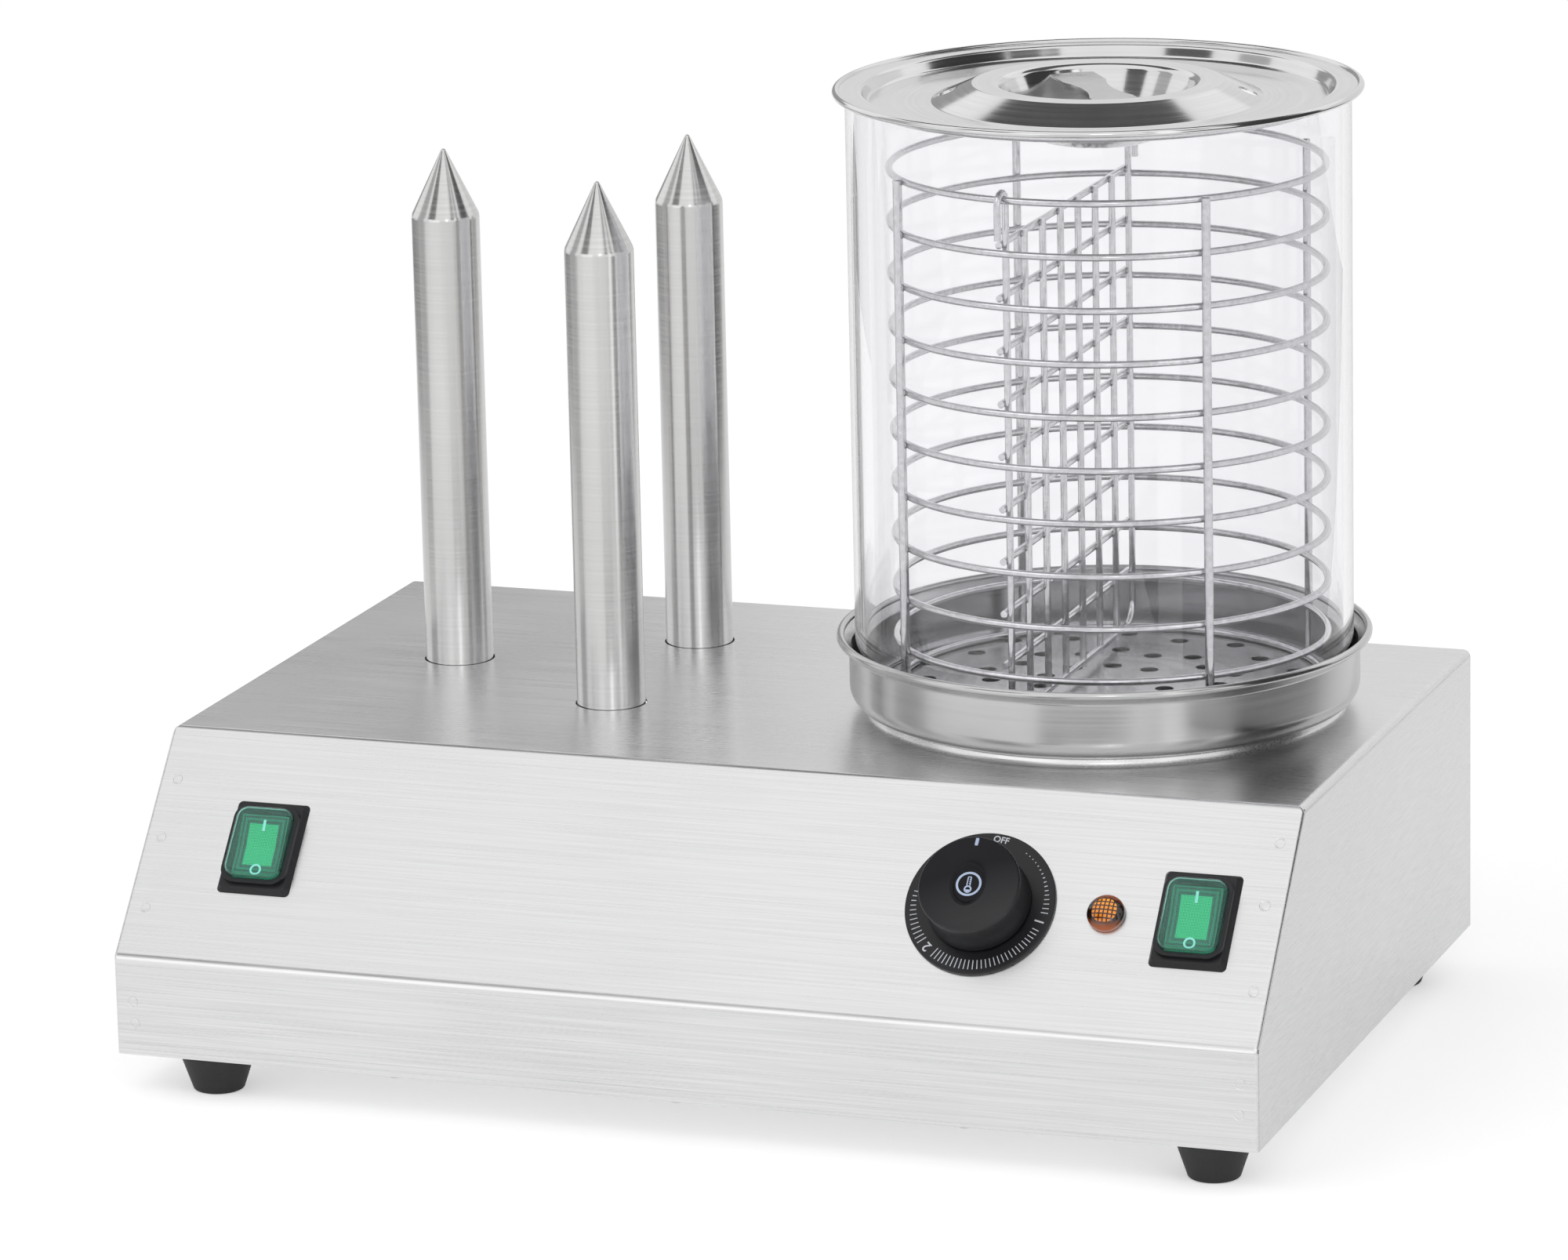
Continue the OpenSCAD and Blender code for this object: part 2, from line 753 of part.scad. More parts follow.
module steam_plate_holes() {
    cylinder(h = 10, r = plate_hole_d / 2);
    for (i = [0:hole_ray_count - 1]) {
        a = hole_ray_angle + 36 * i;
        for (k = [1:3]) rotate([0, 0, a])
            translate([k * hole_far_step, 0, 0]) cylinder(h = 10, r = plate_hole_d / 2);
        for (k = [0:1]) rotate([0, 0, a - 18])
            translate([hole_near_first + k * hole_far_step, 0, 0]) cylinder(h = 10, r = plate_hole_d / 2);
    }
}

module steam_plate() {
    skirt = plate_h - rest_gap;
    color("gainsboro") at_steamer(pan_floor + rest_gap) difference() {
        rotate_extrude() polygon(concat(
            [[0, skirt]],
            arc([plate_r - plate_turn, skirt - plate_turn], plate_turn, 90, 0, 6),
            [[plate_r, 0], [plate_r - plate_t, 0]],
            arc([plate_r - plate_turn, skirt - plate_turn], plate_turn - plate_t, 0, 90, 6),
            [[0, skirt - plate_t]]
        ));
        translate([0, 0, -1]) steam_plate_holes();
    }
}

upright_r = ring_r + wire_d / 2 + upright_d / 2 + weld_gap;

module basket_rings() {
    color("#d5d8db") at_basket(0) for (i = [0:ring_count - 1])
        translate([0, 0, first_ring_z + i * ring_pitch])
            rotate_extrude() translate([ring_r, 0]) circle(wire_d / 2, $fn = 24);
}

module basket_uprights() {
    color("#d5d8db") at_basket(0) for (i = [0:3]) rotate([0, 0, upright_angle + 90 * i])
        translate([upright_r, 0, first_ring_z - wire_d / 2])
            cylinder(h = top_ring_z - first_ring_z + wire_d, r = upright_d / 2);
}

wire_r = wire_d / 2;
hook_ring_y = sqrt(ring_r * ring_r - divider_left * divider_left);
divider_half = hook_ring_y - hook_r;
hook_top = top_ring_z + wire_d + rest_gap;
hook_mid = hook_top - hook_r;
divider_low = plate_top + divider_lift;
divider_bend = 10;
top_level = divider_low + level_count * level_pitch;
short_step = 2 * divider_half / (short_count + 1);

// One half of the outer wire, from the hook's end to the middle of its foot
module outer_wire_half() {
    translate([0, divider_half + 2 * hook_r, hook_mid - hook_leg])
        cylinder(h = hook_leg, r = wire_r);
    translate([0, divider_half + hook_r, hook_mid]) intersection() {
        rotate([0, 90, 0]) rotate_extrude() translate([hook_r, 0]) circle(wire_r);
        translate([-wire_d, -2 * hook_r, 0]) cube([2 * wire_d, 4 * hook_r, 2 * hook_r]);
    }
    translate([0, divider_half, divider_low + divider_bend])
        cylinder(h = hook_mid - divider_low - divider_bend, r = wire_r);
    translate([0, divider_half - divider_bend, divider_low + divider_bend]) intersection() {
        rotate([0, 90, 0]) rotate_extrude() translate([divider_bend, 0]) circle(wire_r);
        translate([-wire_d, 0, -2 * divider_bend]) cube([2 * wire_d, 2 * divider_bend, 2 * divider_bend]);
    }
}

module wire_divider() {
    level_half = divider_half + level_over;
    color("#d5d8db") at_basket(0) translate([-divider_left, 0, 0]) {
        outer_wire_half();
        mirror([0, 1, 0]) outer_wire_half();
        translate([0, divider_half - divider_bend, divider_low]) rotate([90, 0, 0])
            cylinder(h = 2 * (divider_half - divider_bend), r = wire_r);
        for (i = [1:short_count])
            translate([0, -divider_half + i * short_step, divider_low - wire_r - 1])
                cylinder(h = top_level - divider_low + 2 * wire_r + 1.5, r = wire_r);
        for (i = [1:level_count])
            translate([weld_sink - wire_d, level_half, divider_low + i * level_pitch])
                rotate([90, 0, 0]) cylinder(h = 2 * level_half, r = wire_r);
    }
}

lid_bead_r = 1.4;
bowl_round = 3;
bowl_floor_r = 22;

// Outline of the lid's upper face, moved down by t for the lower face
function lid_line(t) = concat(
    [[lid_r - lid_bead_r, -t], [trough_r + 1.5, -t], [trough_r - 1, -trough_h - t]],
    [[ring_foot_r + 1, -trough_h - t], [plateau_r + 2, plateau_h - 0.6 - t], [plateau_r, plateau_h - t]],
    arc([bowl_r + bowl_round, plateau_h - bowl_round], bowl_round - t, 90, 160, 5),
    [[bowl_r - 2.4 + t, plateau_h - 9], [bowl_r - 7 + t, plateau_h - 16]],
    [[bowl_floor_r, plateau_h - bowl_h - t], [0, plateau_h - bowl_h - t]]
);

function reversed(points) = [for (i = [len(points) - 1:-1:0]) points[i]];

module lid_pressing() {
    color("gainsboro") at_steamer(lid_low + lid_wall) difference() {
        rotate_extrude() {
            polygon(concat(lid_line(0), reversed(lid_line(lid_wall))));
            translate([lid_r - lid_bead_r, -lid_wall / 2]) circle(lid_bead_r, $fn = 24);
        }
        for (a = [0, 180]) rotate([0, 0, steam_hole_angle + a])
            translate([(ring_foot_r + plateau_r) / 2 + 2, 0, -trough_h - 2])
                cylinder(h = trough_h + 6, r = steam_hole_d / 2);
    }
}

module lid_strap() {
    waist_r = 60;
    reach = bowl_r - 0.7;
    color("gainsboro") at_steamer(lid_low + lid_wall + plateau_h - bowl_round - strap_t)
        rotate([0, 0, strap_angle]) linear_extrude(strap_t) intersection() {
            circle(reach);
            difference() {
                square([2 * reach + 2, strap_end_w], center = true);
                for (y = [-1, 1]) translate([0, y * (strap_mid_w / 2 + waist_r)]) circle(waist_r);
            }
        }
}

// Heated spikes

spike_bore_r = 6.1;
shoulder_drop = 1.2;
shoulder_in = 0.35;
flange_r = spike_d / 2 + 6;
flange_t = 4;
spike_screw_r = spike_d / 2 + 2.65;
spike_screw_angle = 30;
lead_hole_r = 3;
lead_r = 0.9;
lead_l = 10;
heater_h = 200;

module spike(spot) {
    r = spike_d / 2;
    shoulder = body_top + spike_h;
    color("#c9ccd0") translate([spot[0], spot[1], 0]) difference() {
        rotate_extrude() polygon([
            [0, seat_z], [flange_r, seat_z], [flange_r, seat_z + flange_t], [r, seat_z + flange_t],
            [r, shoulder - shoulder_drop], [r - shoulder_in, shoulder + shoulder_drop / 2],
            [0, shoulder + spike_tip_h]
        ]);
        translate([0, 0, seat_z - 1]) cylinder(h = heater_h + 3, r = spike_bore_r);
        for (i = [0:2]) rotate([0, 0, spike_screw_angle + 120 * i]) translate([spike_screw_r, 0, seat_z - 1])
            cylinder(h = flange_t + 2, r = screw_d / 2);
    }
}

module spike_left_row() { spike(spike_spots[0]); }
module spike_front() { spike(spike_spots[1]); }
module spike_rear_row() { spike(spike_spots[2]); }

module spike_heater(spot) {
    color("#8f9296") translate([spot[0], spot[1], seat_z]) {
        cylinder(h = heater_h, r = spike_bore_r - screw_fit);
        for (x = [-1, 1]) translate([x * (lead_r + 0.5), 0, -bracket_t - lead_l])
            cylinder(h = bracket_t + lead_l, r = lead_r);
    }
}

module spike_heater_left_row() { spike_heater(spike_spots[0]); }
module spike_heater_front() { spike_heater(spike_spots[1]); }
module spike_heater_rear_row() { spike_heater(spike_spots[2]); }

module spike_bracket() {
    margin = flange_r + 4;
    x0 = spike_left - margin;
    x1 = spike_left + spike_step + margin;
    y0 = spike_mid_y - spike_pair / 2 - margin;
    y1 = spike_mid_y + spike_pair / 2 + margin;
    top = seat_z - bracket_t;
    color("silver") difference() {
        union() {
            translate([x0, y0, top]) cube([x1 - x0, y1 - y0, bracket_t]);
            for (y = [y0, y1 - bracket_t])
                translate([x0, y, floor_z]) cube([x1 - x0, bracket_t, seat_z - floor_z]);
            for (y = [y0 - 12, y1 - eps])
                translate([x0, y, floor_z]) cube([x1 - x0, 12 + eps, bracket_t]);
        }
        for (p = spike_spots) translate([p[0], p[1], top - 1]) {
            cylinder(h = bracket_t + 2, r = lead_hole_r);
            for (i = [0:2]) rotate([0, 0, spike_screw_angle + 120 * i]) translate([spike_screw_r, 0, 0])
                cylinder(h = bracket_t + 2, r = screw_d / 2 + screw_fit);
        }
    }
}

module spike_screws() {
    color("lightgray") for (p = spike_spots) for (i = [0:2])
        translate([p[0], p[1], seat_z - bracket_t]) rotate([0, 0, spike_screw_angle + 120 * i])
            translate([spike_screw_r, 0, 0]) pan_screw(screw_d, bracket_t + flange_t - 0.5);
}

// Rocker switches

collar_h = 2.2;
frame_t = 3;
cap_w = 25.4;
cap_l = 31.8;
cap_h = 8;
cap_wall = 0.7;
cap_play = 0.1;
collar_wall = 1.2;
housing_h = 22;
well_h = 16;
rocker_play = 0.5;
pivot_z = -5;
pivot_r = 2.5;
pivot_over = 1.2;
rocker_end_z = 4;
rocker_mid_z = 3;
switch_spots = [left_switch_left, body_w - right_switch_right];
rocker_reach = rocker_l / 2 * cos(rocker_swing / 2) + (rocker_end_z - pivot_z) * sin(rocker_swing / 2);

module switch_housing(side) {
    color("#17181a") on_slope(switch_spots[side], control_up) difference() {
        union() {
            rounded_box(switch_w, switch_h, frame_t, 2);
            rounded_box(cap_w + 2 * collar_wall, cap_l + 2 * collar_wall, frame_t + collar_h, 6);
            translate([0, 0, -housing_h])
                rounded_box(switch_w - 4.4, switch_h - 4.8, housing_h, 1);
        }
        translate([0, 0, frame_t - 1])
            rounded_box(cap_w + 2 * cap_play, cap_l + 2 * cap_play, 10, 5);
        translate([0, 0, -well_h])
            rounded_box(rocker_w + 2 * rocker_play, 2 * (rocker_reach + rocker_play), 30, 0.8);
        translate([-rocker_w / 2 - pivot_over, 0, pivot_z]) rotate([0, 90, 0])
            cylinder(h = rocker_w + 2 * pivot_over, r = pivot_r + shaft_fit);
    }
}

module pillow(w, l, h, r, crown) {
    hull() {
        rounded_box(w, l, h - 3 * crown, r, $fn = 32);
        rounded_box(w - crown, l - crown, h - 1.5 * crown, r, $fn = 32);
        rounded_box(w - 4 * crown, l - 4 * crown, h, r - crown, $fn = 32);
    }
}

module switch_cap(side) {
    color([0.2, 0.7, 0.5, 0.5]) on_slope(switch_spots[side], control_up)
        translate([0, 0, frame_t - 1]) difference() {
            pillow(cap_w, cap_l, cap_h - frame_t + 1, 5, 1.3);
            translate([0, 0, -0.1])
                pillow(cap_w - 2 * cap_wall, cap_l - 2 * cap_wall, cap_h - frame_t + 1.1 - cap_wall, 4.4, 1.3);
        }
}

module switch_rocker(side) {
    half = rocker_l / 2;
    color("#1fae5a") on_slope(switch_spots[side], control_up)
        translate([0, 0, pivot_z]) rotate([rocker_swing / 2, 0, 0]) translate([0, 0, -pivot_z]) {
            translate([-rocker_w / 2, 0, 0]) rotate([90, 0, 90]) linear_extrude(rocker_w) polygon([
                [-half + 1.2, -3], [-half, 1], [-half, rocker_end_z], [0, rocker_mid_z],
                [half, rocker_end_z], [half, 1], [half - 1.2, -3], [3, -9], [-3, -9]
            ]);
            translate([-rocker_w / 2 - pivot_over + 0.2, 0, pivot_z]) rotate([0, 90, 0])
                cylinder(h = rocker_w + 2 * pivot_over - 0.4, r = pivot_r);
        }
}

module switch_terminals(side) {
    color("#c8a850") on_slope(switch_spots[side], control_up)
        for (x = [-6, 6]) for (y = [-10, 6])
            translate([x - 0.4, y, -housing_h - 9]) cube([0.8, 6.3, 9]);
}

module left_switch_housing() { switch_housing(0); }
module left_switch_cap() { switch_cap(0); }
module left_switch_rocker() { switch_rocker(0); }
module left_switch_terminals() { switch_terminals(0); }
module right_switch_housing() { switch_housing(1); }
module right_switch_cap() { switch_cap(1); }
module right_switch_rocker() { switch_rocker(1); }
module right_switch_terminals() { switch_terminals(1); }

// Mains inlet

gland_thread_r = 6.5;
block_x = gland_left - 20;
block_y = body_d - 62;
earth_x = gland_left - 34;
earth_y = body_d - 40;

module terminal_block() {
    pole = 9;
    color("#e9e6da") translate([block_x, block_y, floor_z]) difference() {
        cube([5 * pole, 18, 14]);
        for (i = [0:4]) translate([(i + 0.5) * pole, -1, 5]) rotate([-90, 0, 0])
            cylinder(h = 20, r = 2);
        for (i = [0:4]) for (y = [5, 13]) translate([(i + 0.5) * pole, y, 7])
            cylinder(h = 10, r = 2);
    }
}

module earth_stud() {
    color("#d8b34a") translate([earth_x, earth_y, foot_h]) {
        translate([0, 0, -2]) cylinder(h = 2, r = 4.5);
        cylinder(h = 16, r = bolt_d / 2);
        translate([0, 0, sheet]) cylinder(h = 4, r = 0.92 * bolt_d, $fn = 6);
        translate([0, 0, sheet + 6]) cylinder(h = 4, r = 0.92 * bolt_d, $fn = 6);
    }
}

module gland_frame() {
    translate([gland_left, body_d, foot_h + gland_up]) rotate([-90, 0, 0]) children();
}

module cable_gland() {
    color("#202124") gland_frame() difference() {
        union() {
            cylinder(h = 4, r = gland_d / 2, $fn = 6);
            translate([0, 0, 4]) cylinder(h = gland_out - 6, r = gland_d / 2 - 1.5);
            translate([0, 0, gland_out - 2])
                cylinder(h = 2, r1 = gland_d / 2 - 1.5, r2 = gland_d / 2 - 3.5);
            translate([0, 0, -10]) cylinder(h = 10, r = gland_thread_r);
        }
        translate([0, 0, -11]) cylinder(h = gland_out + 12, r = gland_bore / 2);
    }
}

module gland_locknut() {
    color("#202124") gland_frame() translate([0, 0, -sheet - 5]) difference() {
        cylinder(h = 5, r = gland_d / 2, $fn = 6);
        translate([0, 0, -1]) cylinder(h = 7, r = gland_thread_r);
    }
}

placed() casing_shell();
placed() rear_panel();
placed() base_plate();
placed() casing_screws();
placed() base_screws();
placed() foot_front_left();
placed() foot_front_right();
placed() foot_rear_left();
placed() foot_rear_right();
placed() foot_screws();
placed() foot_nuts();
placed() water_pan();
placed() heating_plate();
placed() heating_element();
placed() insulation_pad();
placed() clamp_plate();
placed() heater_studs();
placed() heater_nuts();
placed() thermostat_body();
placed() thermostat_bulb();
placed() capillary_tube();
placed() control_shaft();
placed() dial_plate();
placed() control_knob();
placed() lamp_lens();
placed() lamp_body();
placed() glass_cylinder();
placed() steam_plate();
placed() basket_rings();
placed() basket_uprights();
placed() wire_divider();
placed() lid_pressing();
placed() lid_strap();
placed() spike_left_row();
placed() spike_front();
placed() spike_rear_row();
placed() spike_heater_left_row();
placed() spike_heater_front();
placed() spike_heater_rear_row();
placed() spike_bracket();
placed() spike_screws();
placed() left_switch_housing();
placed() left_switch_cap();
placed() left_switch_rocker();
placed() left_switch_terminals();
placed() right_switch_housing();
placed() right_switch_cap();
placed() right_switch_rocker();
placed() right_switch_terminals();
placed() terminal_block();
placed() earth_stud();
placed() cable_gland();
placed() gland_locknut();
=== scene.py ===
# %% [markdown]
# A counter-top hot dog steamer, dressed for its portrait. The measured solids come in as a fixed
# frame. This lesson gives them their finishes, and models again, by hand, the pieces whose rounded
# folds, rolled rims, welds and printed marks the plain solids leave out.

# %% Load the frame
import json
from functools import partialmethod
from math import atan2, cos, pi, radians, sin, sqrt

import bpy
from mathutils import Euler, Matrix, Vector


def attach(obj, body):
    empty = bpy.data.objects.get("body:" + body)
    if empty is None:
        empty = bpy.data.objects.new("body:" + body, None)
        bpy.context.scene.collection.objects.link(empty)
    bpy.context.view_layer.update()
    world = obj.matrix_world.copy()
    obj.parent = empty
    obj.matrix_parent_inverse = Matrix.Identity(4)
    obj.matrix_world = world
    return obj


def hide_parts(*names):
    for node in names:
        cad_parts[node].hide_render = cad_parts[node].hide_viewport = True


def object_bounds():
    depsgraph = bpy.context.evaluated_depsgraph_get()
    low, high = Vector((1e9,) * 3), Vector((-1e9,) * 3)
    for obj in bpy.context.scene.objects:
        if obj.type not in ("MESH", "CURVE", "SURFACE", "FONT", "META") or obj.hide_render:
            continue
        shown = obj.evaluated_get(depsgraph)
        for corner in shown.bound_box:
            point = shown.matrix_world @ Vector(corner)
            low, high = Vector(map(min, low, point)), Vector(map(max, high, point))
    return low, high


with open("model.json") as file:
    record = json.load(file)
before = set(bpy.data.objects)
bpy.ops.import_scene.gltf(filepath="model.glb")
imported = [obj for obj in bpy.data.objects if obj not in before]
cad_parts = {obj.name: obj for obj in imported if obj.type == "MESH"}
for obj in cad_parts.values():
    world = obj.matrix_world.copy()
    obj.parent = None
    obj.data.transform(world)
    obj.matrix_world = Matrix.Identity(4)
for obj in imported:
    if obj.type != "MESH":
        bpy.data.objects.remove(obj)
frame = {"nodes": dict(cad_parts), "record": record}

size_of_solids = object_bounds()
slot_of_node = {part["node"]: part["material_slot"] for part in frame["record"]["subparts"]}


def mm(*values):
    """Millimetres to Blender's metres: one number, or a point."""
    metres = [value / 1000 for value in values]
    return metres[0] if len(metres) == 1 else Vector(metres)


low, high = size_of_solids
print("solids measure", [round(1000 * side, 1) for side in high - low], "mm")

# %% [markdown]
# The camera comes first, because everything is judged through it. A fit of the solids' corners to
# the picture gave its direction, distance and a long lens of about 177 mm. A camera that is turned
# by (90 - elevation, 0, azimuth) looks down on the origin, and a last turn about its own axis tips
# the horizon slightly.

# %% Camera
AZIMUTH = 19.858
ELEVATION = 14.190
ROLL = -1.275
LENS = 177.43
DISTANCE = mm(3101.1)
AIM = mm(-6, -24.5, 136)
SHIFT_RIGHT = mm(5.23)
SHIFT_UP = mm(33.15)

level_turn = Euler((radians(90 - ELEVATION), 0, radians(AZIMUTH))).to_matrix()
camera_turn = level_turn @ Matrix.Rotation(radians(ROLL), 3, "Z")
camera_place = AIM + level_turn @ Vector((SHIFT_RIGHT, SHIFT_UP, DISTANCE))
bpy.ops.object.camera_add(location=camera_place, rotation=camera_turn.to_euler())
camera = bpy.context.object
camera.data.lens = LENS
camera.data.sensor_width = 36
camera.data.clip_end = 100
bpy.context.scene.camera = camera
bpy.context.scene.view_settings.view_transform = "Standard"
print("camera stands at", [round(c, 3) for c in camera_place])

# %% [markdown]
# A material is a tree of nodes. Two small classes let it be written as plain arithmetic. A Signal
# is one output of a node, and + - * / on it add Math nodes. A Finish is the tree of one material,
# and its node method adds any other node from its type, its settings and what its sockets get.

# %% Signals
MATH = "ShaderNodeMath"


class Signal:
    """One output of a node, on which Python's operators write Math nodes."""

    def __init__(self, finish, socket):
        self.finish = finish
        self.socket = socket

    def other(self, name):
        return Signal(self.finish, self.socket.node.outputs[name])

    def maths(self, operation, *others):
        values = dict(enumerate((self, *others)))
        return self.finish.node(MATH, {"operation": operation}, values)

    def __rsub__(self, value):
        return self.finish.node(MATH, {"operation": "SUBTRACT"}, {0: value, 1: self})

    __add__ = partialmethod(maths, "ADD")
    __sub__ = partialmethod(maths, "SUBTRACT")
    __mul__ = partialmethod(maths, "MULTIPLY")
    __truediv__ = partialmethod(maths, "DIVIDE")
    __gt__ = partialmethod(maths, "GREATER_THAN")
    __lt__ = partialmethod(maths, "LESS_THAN")
    __abs__ = partialmethod(maths, "ABSOLUTE")
    root = partialmethod(maths, "SQRT")
    fraction = partialmethod(maths, "FRACT")
    larger = partialmethod(maths, "MAXIMUM")


# %% Finishes
looks = {}


class Finish:
    """The node tree of one material, kept in looks by its name."""

    def __init__(self, name, **sockets):
        self.material = bpy.data.materials.new(name)
        looks[name] = self.material
        self.material.use_nodes = True
        self.tree = self.material.node_tree
        self.shader = self.tree.nodes["Principled BSDF"]
        for socket, value in sockets.items():
            self.feed(socket.replace("_", " "), value)

    def plug(self, socket, value):
        if isinstance(value, Signal):
            self.tree.links.new(value.socket, socket)
        else:
            socket.default_value = value

    def feed(self, name, value):
        if isinstance(value, tuple) and len(value) == 3 and "Color" in name:
            value = (*value, 1)
        self.plug(self.shader.inputs[name], value)

    def node(self, kind, settings=None, inputs=None, output=0):
        made = self.tree.nodes.new(kind)
        for name, value in (settings or {}).items():
            setattr(made, name, value)
        for name, value in (inputs or {}).items():
            self.plug(made.inputs[name], value)
        return Signal(self, made.outputs[output])

    def place(self, scale=(1, 1, 1), centre=(0, 0, 0), turn=(0, 0, 0)):
        """Object coordinates about a centre, turned and stretched."""
        shift = [-c for c in centre]
        whole = self.node("ShaderNodeTexCoord", output="Object")
        about = self.node(
            "ShaderNodeVectorMath", {"operation": "ADD"}, {0: whole, 1: shift}
        )
        return self.node(
            "ShaderNodeMapping", inputs={"Vector": about, "Scale": scale, "Rotation": turn}
        )

    def parts(self, vector):
        """The x, y and z of a vector."""
        x = self.node("ShaderNodeSeparateXYZ", inputs={0: vector})
        return x, x.other("Y"), x.other("Z")

    def noise(self, vector, scale=1, detail=2, roughness=0.5):
        sockets = {"Vector": vector, "Scale": scale, "Detail": detail, "Roughness": roughness}
        return self.node("ShaderNodeTexNoise", inputs=sockets)

    def spread(self, value, low, high, to_low, to_high):
        """Maps low..high to to_low..to_high, and holds it there."""
        sockets = dict(enumerate((value, low, high, to_low, to_high)))
        return self.node("ShaderNodeMapRange", inputs=sockets)

    def mix(self, share, first, second):
        """A colour between two colours."""
        first, second = [(*c, 1) if isinstance(c, tuple) else c for c in (first, second)]
        colours = {0: share, 6: first, 7: second}
        return self.node("ShaderNodeMix", {"data_type": "RGBA"}, colours, output=2)

    def bump(self, height, distance, strength=1.0):
        sockets = {"Height": height, "Distance": distance, "Strength": strength}
        self.feed("Normal", self.node("ShaderNodeBump", inputs=sockets))


# %% [markdown]
# The stage is a wide pale floor under a white room. A picture of a product on white has no
# horizon, so to the camera, to reflections and through glass the room is plain white. Light Path
# tells those rays apart from the rays that only carry light, for which the room is dimmer, so
# that white paint renders as white paint and nothing is washed out.

# %% Room
ROOM_LIGHT = 0.62

room = bpy.data.worlds.new("room")
bpy.context.scene.world = room
room.use_nodes = True
sky = room.node_tree.nodes["Background"]
paths = room.node_tree.nodes.new("ShaderNodeLightPath")
sky.inputs["Color"].default_value = (1, 1, 1, 1)
seen = paths.outputs["Is Camera Ray"]
for name in ("Is Glossy Ray", "Is Transmission Ray"):
    either = room.node_tree.nodes.new(MATH)
    either.operation = "MAXIMUM"
    room.node_tree.links.new(seen, either.inputs[0])
    room.node_tree.links.new(paths.outputs[name], either.inputs[1])
    seen = either.outputs[0]
level = room.node_tree.nodes.new("ShaderNodeMapRange")
level.inputs["To Min"].default_value = ROOM_LIGHT
level.inputs["To Max"].default_value = 1.0
room.node_tree.links.new(seen, level.inputs["Value"])
room.node_tree.links.new(level.outputs[0], sky.inputs["Strength"])
print("room light for surfaces", ROOM_LIGHT)

# %% Floor
FLOOR_SIZE = 60
FLOOR_GLOW = 0.42

floor_finish = Finish("floor_paper", Base_Color=(0.9, 0.9, 0.9), Roughness=1.0)
floor_finish.feed("Specular IOR Level", 0.0)
rays = floor_finish.node("ShaderNodeLightPath")
direct = rays.larger(rays.other("Is Glossy Ray") * 0.55)
direct = direct.larger(rays.other("Is Transmission Ray"))
glow = floor_finish.mix(direct, (0.0, 0.0, 0.0), (1.0, 1.0, 1.0))
floor_finish.feed("Emission Color", glow)
floor_finish.feed("Emission Strength", FLOOR_GLOW)
bpy.ops.mesh.primitive_plane_add(size=FLOOR_SIZE)
floor = bpy.context.object
floor.name = "floor"
floor.data.materials.append(floor_finish.material)


# %% [markdown]
# Two soft boxes light the front: a large one high on the left and a weaker one on the right. They
# only shade what is not metal. The metal mirrors the room, so a mirror image of a box would be too
# bright on it. The third lamp is small and is mirrored: it is the spark on shiny pieces.

# %% Lamps
def soft_box(name, place, width, height, brightness, mirrored=False):
    bpy.ops.object.light_add(type="AREA", location=place)
    lamp = bpy.context.object
    lamp.name = name
    aim = Vector(place) - mm(0, 0, 200)
    lamp.rotation_euler = aim.to_track_quat("Z", "Y").to_euler()
    lamp.data.shape = "RECTANGLE"
    lamp.data.size = width
    lamp.data.size_y = height
    lamp.data.energy = brightness * pi * width * height
    lamp.visible_glossy = mirrored
    print(name, "power", round(lamp.data.energy, 1), "W")


soft_box("key_box", (-1.2, -1.6, 2.6), 2.0, 1.6, 1.1)
soft_box("fill_box", (2.2, -1.4, 1.4), 1.0, 1.6, 0.7)
soft_box("spark", (0.7, -1.7, 0.9), 0.25, 0.5, 2.0, mirrored=True)

# %% [markdown]
# Photographers stand dark and bright cards beside polished metal, because in an all-white room it
# has nothing to mirror and looks like plaster. These cards only show in reflections: they cast no
# shadow, and neither the camera nor the glass sees them. Each is given by its brightness, where 1
# is the room's white, its middle, its width and length, and its turn: flat ones lie over the lid
# or on the floor, upright ones stand around.


# %% Cards
def card(name, shade, middle, width, length, upright=0.0, heading=0.0):
    """A card: upright tips it up from lying flat, heading turns it about the vertical."""
    finish = Finish(name, Base_Color=(0.0, 0.0, 0.0), Roughness=1.0)
    finish.feed("Specular IOR Level", 0.0)
    finish.feed("Emission Color", (1.0, 1.0, 1.0))
    finish.feed("Emission Strength", shade)
    bpy.ops.object.select_all(action="DESELECT")
    bpy.ops.mesh.primitive_plane_add(
        size=1, location=middle, rotation=(radians(upright), 0, radians(heading))
    )
    made = bpy.context.object
    made.name = name
    made.data.materials.append(finish.material)
    bpy.ops.object.mode_set(mode="EDIT")
    bpy.ops.transform.resize(value=(width, length, 1), orient_type="LOCAL")
    bpy.ops.object.mode_set(mode="OBJECT")
    made.visible_camera = False
    made.visible_transmission = False
    made.visible_shadow = False
    made.visible_diffuse = False


card("card_back_left", 0.36, (-4.1, 4.2, 1.1), 5.0, 2.2, upright=90)
card("card_back_right", 0.80, (1.4, 4.2, 1.1), 6.0, 2.2, upright=90)
card("card_over_back", 0.10, (0.0, 1.5, 2.9), 4.5, 2.0)
card("card_floor_right", 0.10, (1.45, 0.3, 0.003), 1.6, 2.4)
card("card_floor_left", 0.20, (-1.7, 0.2, 0.003), 1.1, 2.2)
card("card_floor_front", 0.28, (0.22, -0.62, 0.003), 0.42, 0.24)
card("card_low_front", 1.35, (-0.95, -2.7, 0.62), 1.9, 1.0, upright=90, heading=-20)
card("card_left", 0.50, (-0.80, -0.18, 0.5), 0.34, 1.0, upright=90, heading=-70)
card("card_right", 0.05, (0.66, 0.12, 0.5), 0.50, 1.0, upright=90, heading=85)
card("card_streak", 1.25, (0.66, -0.50, 0.5), 0.14, 1.0, upright=90, heading=55)
